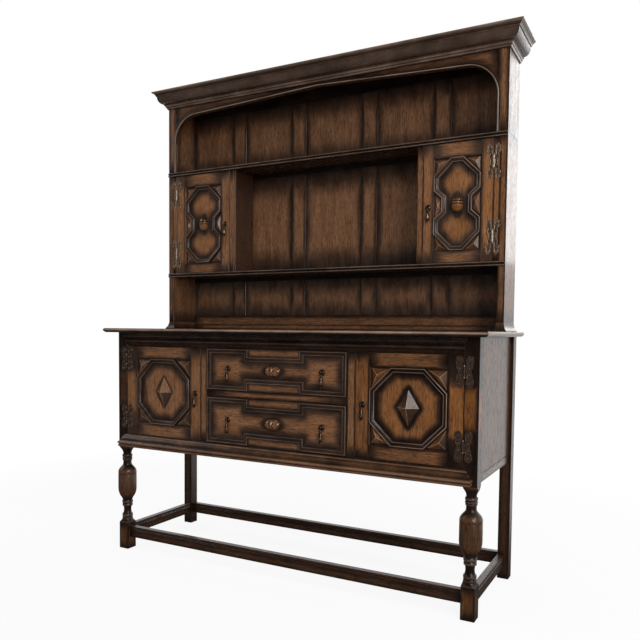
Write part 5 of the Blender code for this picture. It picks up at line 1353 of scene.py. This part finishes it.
class DRESSER_OT_rack_sides(bpy.types.Operator):
    """Makes the rack's sides with their flared feet and the stiles beside the cupboards"""
    bl_idname = "dresser.rack_sides"
    bl_label = "Rack sides"

    def execute(self, context):
        foot, foot_height, spread, top = 0.8873, 0.031, 0.011, 1.8822
        frieze_bottom, frieze_back = 1.5570, RACK_FRONT + 0.0183
        for side, sign in SIDES:
            stock = Stock("rack_side_board_" + side, "oak")
            rings = [self.ring(sign, spread * out, foot + share * foot_height) for share, out in FLARE]
            stock.loft(rings, ALONG_Z, lambda p: max(0.1, (p.z - foot) / 0.05))
            x0, x1 = between(sign, RACK_INNER, RACK_OUTER)
            stock.aged(most=0.8)
            stock.board((x0, RACK_FRONT, foot + 0.030), (x1, BACK, frieze_bottom), ALONG_Z,
                        fade=(0.07, 0.01))
            stock.board((x0, frieze_back, frieze_bottom), (x1, BACK, top), ALONG_Z, fade=(0.07, 0.05))
            x0, x1 = between(sign, POST_INNER, 0.6995)
            stock.aged(0.25)
            stock.board((x0, RACK_FRONT - 0.0002, 1.1263), (x1, RACK_FRONT + RAIL_THICKNESS, 1.5407),
                        ALONG_Z, fade=(0.05, 0.003))
            stock.piece("case", "rack_side_" + side)
        return {"FINISHED"}

    @staticmethod
    def ring(sign, out, z):
        """A side's outline at a height. Its flare stops short of the panelled back."""
        x0, x1 = between(sign, RACK_INNER - out, RACK_OUTER + out)
        straight, stop = sign * RACK_INNER, BACK - 0.0145
        behind = ([(x1, BACK), (straight, BACK), (straight, stop), (x0, stop)] if sign > 0 else
                  [(x1, stop), (straight, stop), (straight, BACK), (x0, BACK)])
        return [(x, y, z) for x, y in [(x0, RACK_FRONT - out), (x1, RACK_FRONT - out)] + behind]


class DRESSER_OT_rack_back(bpy.types.Operator):
    """Makes the rack's framed and panelled back and the plinth in front of it"""
    bl_idname = "dresser.rack_back"
    bl_label = "Rack back"

    def execute(self, context):
        low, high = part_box("rack_back")
        face, panel_face, backing = 0.2405, 0.2465, 0.2505
        half, half_muntin, plinth_top = 0.6985, 0.0315, 0.910
        stock = Stock("rack_back_panelling", "oak_panel").aged(most=0.8)
        levels = ((0.948, 1.095), (1.141, 1.526), (1.572, 1.8135))
        heights = [low.z, *(z for level in levels for z in level), high.z]
        for z0, z1 in zip(heights[::2], heights[1::2]):
            painted_shadow = z0 > 1.0          # under a shelf or the frieze, painted nearly black as their shadow
            stock.board((-half, face, z0), (half, backing, z1), ALONG_X, fade=(0.06, 0.02),
                        level=0.0 if painted_shadow else None)
        muntins = (-0.453, -0.159, 0.159, 0.453)
        edges = [-half] + [x + s for x in muntins for s in (-half_muntin, half_muntin)] + [half]
        # The rows are painted lighter from the top down: painted light in the lowest row under its shelf
        # and painted shade of the frieze in the top row. The lower rows also take more painted sheen.
        for (z0, z1), most, bloom in zip(levels, (1.15, 0.97, 0.8), (0.10, 0.05, 0.03)):
            stock.aged(0.0, most, bloom)
            for x0, x1 in zip(edges[1:-1:2], edges[2:-1:2]):
                stock.board((x0, face, z0), (x1, backing, z1), ALONG_Z, fade=(0.10, 0.016))
            for x0, x1 in zip(edges[::2], edges[1::2]):
                stock.board((x0, panel_face, z0), (x1, backing, z1), ALONG_Z, fade=(0.10, 0.034),
                            ease=0.0005)
        stock.boards((-half, half), (backing, high.y), (low.z, high.z), 9, (0.08, 0.06))
        stock.board((-half + 0.0125, face - 0.007, low.z), (half - 0.0125, face, plinth_top), ALONG_X,
                    fade=(0.08, 0.012))
        stock.piece("case", "rack_back")
        return {"FINISHED"}


class DRESSER_OT_shelves(bpy.types.Operator):
    """Makes the two shelves with their rounded nosing, and the partitions beside the cupboards"""
    bl_idname = "dresser.shelves"
    bl_label = "Shelves and partitions"

    def execute(self, context):
        for level in LEVELS:
            low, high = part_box("shelf_" + level)
            stock = Stock("shelf_board_" + level, "oak_dark")
            half, nose_half, nose_back = 0.6987, 0.723, 0.0962
            board_front = nose_back - 0.0022
            stock.board((-half, board_front, low.z), (half, high.y, high.z), ALONG_X, fade=(0.08, 0.05))
            path = ((-nose_half, nose_back), (nose_half, nose_back))
            run_moulding(stock, path, False, NOSE_SECTION, nose_back - low.y, high.z - low.z,
                         at_height(low.z))
            stock.piece("case", "shelf_" + level)
        for side, _ in SIDES:
            low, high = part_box("cupboard_partition_" + side)
            edging = low.y + 0.012
            stock = Stock("cupboard_partition_board_" + side, "oak")
            stock.board(low, (high.x, edging, high.z), ALONG_Z, fade=(0.06, 0.004))
            stock.board((low.x, edging, low.z), high, ALONG_Z, level=0.32)
            stock.piece("case", "cupboard_partition_" + side)
        return {"FINISHED"}


FRIEZE_HALF = 0.686


def arch_half():
    """The frieze's arch from the right stile up to its peak in the middle."""
    springing, peak, radius = 1.786, 1.816, 0.110
    rise = math.atan2(peak - springing, FRIEZE_HALF)
    swing = math.pi / 2 - rise
    centre = Vector((FRIEZE_HALF - radius, springing - radius * math.tan(swing / 2)))
    turns, steps = 16, 24
    arc = []
    for i in range(turns + 1):
        angle = swing * i / turns
        arc.append(tuple(centre + radius * Vector((math.cos(angle), math.sin(angle)))))
    x, z = arc[-1]
    return arc + [(x * (1 - t / steps), z + (peak - z) * t / steps) for t in range(1, steps + 1)]


class DRESSER_OT_frieze(bpy.types.Operator):
    """Makes the arched frieze with its bead, and the cornice with its board"""
    bl_idname = "dresser.frieze"
    bl_label = "Frieze and cornice"

    def execute(self, context):
        low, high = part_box("rack_frieze")
        front, back = low.y, high.y
        half = arch_half()
        arch = half + [(-x, z) for x, z in reversed(half[:-1])]
        stock = Stock("arched_frieze", "oak")
        for sign in (-1, 1):
            x0, x1 = between(sign, FRIEZE_HALF, RACK_OUTER)
            stock.board((x0, front, low.z), (x1, back, high.z), ALONG_Z, fade=(0.07, 0.018))
        line = arch + [(-FRIEZE_HALF, high.z + 1), (FRIEZE_HALF, high.z + 1)]

        # Painted shadow of the cornice: the frieze is darker towards its top and across its narrow middle.
        # It is also dark along the arch's edge.
        def shade(points):
            below = to_polygon(points, line) / 0.05
            above = (1.830 - points[:, 1]) / 0.03
            outwards = (np.abs(points[:, 0]) - 0.16) / 0.34
            return np.clip(np.minimum(np.minimum(below, above + 0.25), outwards), 0.05, 0.85)
        columns = [(x, z, high.z) for x, z in reversed(arch)]
        columns[0] = (-FRIEZE_HALF, *columns[0][1:])
        columns[-1] = (FRIEZE_HALF, *columns[-1][1:])
        stock.field(columns, front, back, ALONG_X, shade, rows=14)
        foot, lowest = FRIEZE_HALF + 0.0002, low.z + 0.001
        path = [(foot, lowest)] + arch + [(-foot, lowest)]
        run_moulding(stock, path, False, BEAD_SECTION, 0.011, 0.0030, on_front(front))
        stock.piece("case", "rack_frieze")

        low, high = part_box("rack_cornice")
        stock = Stock("cornice_moulding", "oak_dark")
        # The ends stop just short of the back, and not flush with each other.
        half, ends = RACK_OUTER, BACK - 0.0002
        path = ((-half, ends), (-half, RACK_FRONT), (half, RACK_FRONT), (half, ends))
        run_moulding(stock, path, False, cornice_section(), 1.0, 1.0, at_height(low.z), tone=0.25)
        lap = 0.001
        stock.board((-half - lap, RACK_FRONT - lap, 1.8828), (half + lap, BACK - 0.0001, high.z - 0.0004),
                    ALONG_X, level=0.35)
        stock.piece("case", "rack_cornice")
        return {"FINISHED"}


# The upper half of a hinge leaf, in millimetres from the pin's side and from the middle, then its
# raised rings (centre, half width, half height, thickness) and its nails.
BASE_LEAF = (
    ((0, 0), (0, 12), (1.0, 17.0), (3.2, 20.3), (2.2, 23.5), (0.6, 28), (0, 33), (0.6, 38.5), (2.8, 43.2),
     (6.8, 47.0), (12.25, 48.5), (17.7, 47.0), (21.7, 43.2), (23.9, 38.5), (24.5, 33), (23.9, 28),
     (22.2, 23.5), (19.6, 20.5), (21.4, 17.0), (21.4, 12.5), (18.8, 8), (16.4, 4), (15.6, 0)),
    (((12.25, 33.4), 10.2, 13.6, 1.4), ((12.25, 34.0), 4.8, 6.4, 1.0), ((10.6, 10.0), 7.2, 7.6, 1.2),
     ((10.6, 10.0), 2.6, 3.0, 0.8)),
    ((12.25, 35.6), (10.6, 10.0)))
RACK_LEAF = (
    ((0, 0), (0, 21), (2.0, 24.5), (2.4, 29), (0.8, 32.5), (0.3, 37), (2.2, 41), (4.6, 43.4), (2.0, 46.5),
     (1.6, 51), (4.2, 55.2), (7.4, 57.6), (10.0, 61.0), (12.6, 57.6), (16.2, 55.0), (18.6, 51),
     (18.2, 46.5), (15.4, 43.4), (18.6, 40.4), (20.4, 36.4), (19.2, 31.8), (14.6, 29.0), (10.6, 25.8),
     (11.6, 20.5), (14.6, 16.5), (12.4, 11.6), (9.4, 8.0), (8.6, 0)),
    (((6.4, 49.4), 2.2, 3.0, 0.9), ((13.6, 49.4), 2.2, 3.0, 0.9), ((14.2, 35.8), 3.0, 3.2, 0.9)),
    ((10.0, 54.6), (6.4, 35.0), (5.0, 12.0)))
# A leaf's rounded rim, from its back up and over to its plate: (in from the edge, out from the face,
# share of the polish), in metres.
LEAF_RIM = ((0, 0, 0.0), (0, 0.0013, 0.8), (0.0007, 0.0021, 1.0), (0.0014, 0.0019, 1.0),
            (0.0021, 0.0012, 0.0))
MILLIMETRE = 0.001
LEAF_START = 0.004                # from the pin to the leaf
NAIL_RADIUS = 0.0019


def hinge_leaf(stock, pin_x, away, face, z, drawing, polish_and_glint):
    """A cock's-head leaf: a fretted plate with a raised rim, rings round its scrolls, and its nails."""
    outline, rings, nails = drawing

    def at(a, b):
        return pin_x + away * (LEAF_START + a * MILLIMETRE), z + b * MILLIMETRE
    shape = against_clock([at(a, -b) for a, b in outline[:0:-1]] + [at(a, b) for a, b in outline])
    count = len(shape)
    points, wear = [], []
    for step, rise, worn in LEAF_RIM:
        points += [(x, face - rise, height) for x, height in drawn_in(shape, step)]
        wear += [polish_and_glint * worn] * count
    last = (len(LEAF_RIM) - 1) * count
    faces = quads(len(LEAF_RIM), count)
    faces += [[last + i for i in range(count)], list(reversed(range(count)))]
    stock.add(points, faces, ALONG_Z, 0.5, wear)
    heads = []
    for end in (-1, 1):
        for (a, b), wide, tall, thick in rings:
            reach = wide * MILLIMETRE, tall * MILLIMETRE
            scroll(stock, at(a, end * b), reach, thick * MILLIMETRE, face - 0.0012, polish_and_glint)
        for a, b in nails:
            x, height = at(a, end * b)
            heads.append((x, face - 0.0014, height))
    mesh = bpy.data.meshes.new("nail_places")
    mesh.from_pydata(heads, [], [])
    domes = grown(bpy.data.objects.new("nail_places", mesh), nail_tree, {
        "Radius": NAIL_RADIUS, "Dome": 0.55, "Finish": finish("bronze")})
    faces = [list(p.vertices) for p in domes.polygons]
    stock.add([v.co.copy() for v in domes.vertices], faces, ALONG_Z, 0.4, 0.8, True)
    bpy.data.meshes.remove(domes)


def scroll(stock, centre, reach, thick, depth, polish_and_glint):
    """A raised ring on a plate. reach is its half width and half height."""
    around, section = 24, 6
    points, wear = [], []
    for angle in angles(around):
        for swing in angles(section):
            out = thick * math.cos(swing)
            points.append((centre[0] + (reach[0] + out) * math.cos(angle),
                           depth - thick * 0.8 * math.sin(swing),
                           centre[1] + (reach[1] + out) * math.sin(angle)))
            wear.append(polish_and_glint if math.sin(swing) > 0.1 else 0.2)
    stock.add(points, quads(around, section, True), ALONG_Z, 0.5, wear, True)


# The tip of a hinge's pin: (distance from the knuckle, radius, rubbed).
PIN_TIP = ((0.0, 0.0016, 0.3), (0.0012, 0.0028, 0.8), (0.0030, 0.0031, 0.9), (0.0046, 0.0022, 0.9),
           (0.0056, 0.0006, 0.9))
# Which thirds of the barrel each leaf's knuckles take, measured from the barrel's middle.
KNUCKLES = {"case": ((-1.5, -0.5), (0.5, 1.5)), "door": ((-0.5, 0.5),)}


class DRESSER_OT_hinges(bpy.types.Operator):
    """Makes the cock's-head hinges, a leaf for the case and a leaf for the door"""
    bl_idname = "dresser.hinges"
    bl_label = "Hinges"

    def execute(self, context):
        # The polish value paints barrels, rims and rings pale: partly real polish, partly a painted
        # highlight on the rack hinges.
        for kind, face, heights, drawing, barrel, polish_and_glint, light in (
                ("base", CASE_FRONT, (0.537, 0.7655), BASE_LEAF, 0.030, 0.25, 0.45),
                ("rack", RACK_FRONT, (1.210, 1.460), RACK_LEAF, 0.040, 1.0, 0.85)):
            for side, sign in SIDES:
                bodies = (("case", sign, "case"), ("door", -sign, "%s_door_%s" % (kind, side)))
                for level, z in zip(LEVELS, heights):
                    pin = Vector((sign * 0.68025, face - 0.004, 0))
                    for leaf, away, body in bodies:
                        name = "hinge_%s_%s_%s_%s" % (kind, side, level, leaf)
                        stock = Stock(name + "_scroll", "bronze").aged(0.0, light)
                        hinge_leaf(stock, pin.x, away, face, z, drawing, 0.5 + 0.4 * polish_and_glint)
                        for low, high in KNUCKLES[leaf]:
                            span = z + low * barrel / 3, z + high * barrel / 3
                            self.knuckle(stock, pin, away, face, inset(span, JOINT), polish_and_glint)
                        if leaf == "case":
                            for end in (-1, 1):
                                tip = Matrix.Translation((pin.x, pin.y, z + end * barrel / 2))
                                turn(stock, PIN_TIP, tip @ Matrix.Scale(end, 4, (0, 0, 1)), sides=14)
                        stock.piece(body, name + "_leaf")
        return {"FINISHED"}

    @staticmethod
    def knuckle(stock, pin, away, face, span, polish_and_glint):
        """A knuckle round the pin, drawn out into its leaf."""
        low, high = span
        end, step, inner, outer = 0.0026, 0.0006, 0.0008, 0.0062
        # Where polish is high the barrel is painted pale, which stands in for its highlight.
        rows = ((low, end, 0.1), (low + step, 0.0033, polish_and_glint), ((low + high) / 2, 0.0034, polish_and_glint),
                (high - step, 0.0033, polish_and_glint), (high, end, 0.1))
        turn(stock, rows, Matrix.Translation(pin), sides=16)
        stock.board((pin.x, face - 0.0030, low + inner), (pin.x + away * outer, face - inner, high - inner),
                    ALONG_Z, level=0.5, ease=0.0004)


# A pull's pin: (distance from its middle, radius, rubbed).
PULL_PIN = ((-0.0050, 0.0010, 0.4), (-0.0046, 0.0018, 0.8), (-0.0042, 0.0013, 0.4), (0.0042, 0.0013, 0.4),
            (0.0046, 0.0018, 0.8), (0.0050, 0.0010, 0.4))
# A pull's plate: (share of its radius, out from the face in metres, rubbed).
PLATE_RINGS = (
    (1.0, 0.0, 0.0), (1.0, 0.0008, 0.4), (0.93, 0.0018, 0.9), (0.80, 0.0022, 0.7), (0.66, 0.0015, 0.1),
    (0.58, 0.0018, 0.2), (0.50, 0.0030, 0.8), (0.36, 0.0036, 0.7), (0.18, 0.0039, 0.5))
# A pull's drop: (distance below the pin, radius, rubbed).
DROP_ROWS = (
    (0.0030, 0.0018, 0.1), (0.0060, 0.0022, 0.1), (0.0085, 0.0026, 0.2), (0.0105, 0.0036, 0.4),
    (0.0125, 0.0036, 0.4), (0.0138, 0.0030, 0.1), (0.0160, 0.0042, 0.1), (0.0200, 0.0057, 0.2),
    (0.0250, 0.0066, 0.6), (0.0300, 0.0071, 0.8), (0.0350, 0.0072, 0.85), (0.0390, 0.0068, 0.8),
    (0.0420, 0.0062, 0.6), (0.0450, 0.0053, 0.3), (0.0470, 0.0045, 0.2), (0.0483, 0.0036, 0.1),
    (0.0490, 0.0027, 0.1), (0.0500, 0.0030, 0.4), (0.0512, 0.0032, 0.6), (0.0522, 0.0024, 0.5),
    (0.0530, 0.0008, 0.4))


class DRESSER_OT_pulls(bpy.types.Operator):
    """Makes the drop pulls: petalled plates on doors and drawers, and drops that hang on their pins"""
    bl_idname = "dresser.pulls"
    bl_label = "Drop pulls"

    def execute(self, context):
        places = [("%s_door_%s" % (kind, side), "%s_door_%s" % (kind, side), face, z)
                  for kind, face, z in (("base", CASE_FRONT, 0.645), ("rack", RACK_FRONT, 1.322))
                  for side, _ in SIDES]
        places += [("drawer_" + level, "drawer_%s_%s" % (level, side), CASE_FRONT, z)
                   for level, z in zip(LEVELS, (0.55725, 0.7441)) for side, _ in SIDES]
        for carrier, name, face, z in places:
            node = name + "_drop"
            x = sum(corner.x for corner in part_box(node)) / 2
            pin_y = face - 0.008
            plate = Stock(name + "_pull_plate", "bronze").aged(1.0, 0.6)
            self.petals(plate, x, face, z)
            half, cheek = 0.0026, 0.0020
            for end in (-1, 1):
                inner = x + end * 0.0022
                plate.board((inner, pin_y - half, z - half), (inner + end * cheek, face - 0.0015, z + half),
                            ALONG_Z, level=0.5, ease=0.0006)
            across = Matrix.Translation((x, pin_y, z)) @ Matrix.Rotation(QUARTER_TURN, 4, "Y")
            turn(plate, PULL_PIN, across, sides=12)
            plate.piece(carrier)
            drop = Stock(name + "_pull_pendant", "bronze").aged(1.0, 0.9)
            rows = [(-h, r, w) for h, r, w in DROP_ROWS]
            turn(drop, rows, Matrix.Translation((x, pin_y, z)), sides=28)
            self.eye(drop, x, pin_y, z)
            drop.piece(name + "_pull", node)
        return {"FINISHED"}

    @staticmethod
    def petals(stock, x, face, z):
        """A domed round plate with a petalled rim."""
        around, plate_radius = 48, 0.012
        rings, wear = [], []
        for share, rise, worn in PLATE_RINGS:
            lobed = max(0.0, share - 0.6) / 0.4
            ring = []
            for angle in angles(around):
                radius = plate_radius * share * (1 - 0.07 * lobed * (1 - abs(math.cos(4 * angle))))
                ring.append((x + radius * math.cos(angle), face - rise, z + radius * math.sin(angle)))
            rings.append(ring)
            wear += [worn] * around
        stock.loft(rings, ALONG_Z, 0.5, wear, True)

    @staticmethod
    def eye(stock, x, y, z):
        """The eye at the top of a drop, bored for the pin."""
        around = 24
        section = ((-0.0018, 0.0020), (-0.0018, 0.0034), (-0.0010, 0.0042), (0.0010, 0.0042),
                   (0.0018, 0.0034), (0.0018, 0.0020))
        points = [(x + out, y + radius * math.cos(angle), z + radius * math.sin(angle))
                  for out, radius in section for angle in angles(around)]
        stock.add(points, quads(len(section), around, True), ALONG_Z, 0.5, 0.6, True)


class DRESSER_PT_panel(bpy.types.Panel):
    """Lists the sizes, the colours and the steps of the dresser"""
    bl_idname = "DRESSER_PT_panel"
    bl_label = "Oak kitchen dresser"
    bl_space_type = "VIEW_3D"
    bl_region_type = "UI"
    bl_category = "Dresser"

    def draw(self, context):
        for group in (context.scene.dresser_sizes, context.scene.dresser_colours):
            for key in type(group).__annotations__:
                self.layout.prop(group, key)
        for step in STEPS:
            self.layout.operator(step.bl_idname)


STEPS = (
    DRESSER_OT_stage, DRESSER_OT_working_top, DRESSER_OT_front_legs, DRESSER_OT_rear_legs,
    DRESSER_OT_case_sides, DRESSER_OT_case_front, DRESSER_OT_base_doors, DRESSER_OT_drawers,
    DRESSER_OT_rack_sides, DRESSER_OT_rack_back, DRESSER_OT_shelves, DRESSER_OT_frieze,
    DRESSER_OT_rack_doors, DRESSER_OT_hinges, DRESSER_OT_pulls)
CLASSES = (DresserSizes, DresserColours, *STEPS, DRESSER_PT_panel)


def register():
    """Adds the classes and the settings to Blender."""
    for item in CLASSES:
        bpy.utils.register_class(item)
    bpy.types.Scene.dresser_sizes = PointerProperty(type=DresserSizes)
    bpy.types.Scene.dresser_colours = PointerProperty(type=DresserColours)


def unregister():
    """Takes the classes and the settings out again."""
    del bpy.types.Scene.dresser_colours
    del bpy.types.Scene.dresser_sizes
    for item in reversed(CLASSES):
        bpy.utils.unregister_class(item)


def main():
    """Builds the dresser."""
    register()
    for step in STEPS:
        group, name = step.bl_idname.split(".")
        getattr(getattr(bpy.ops, group), name)()
    bpy.context.view_layer.update()


if __name__ == "__main__":
    main()
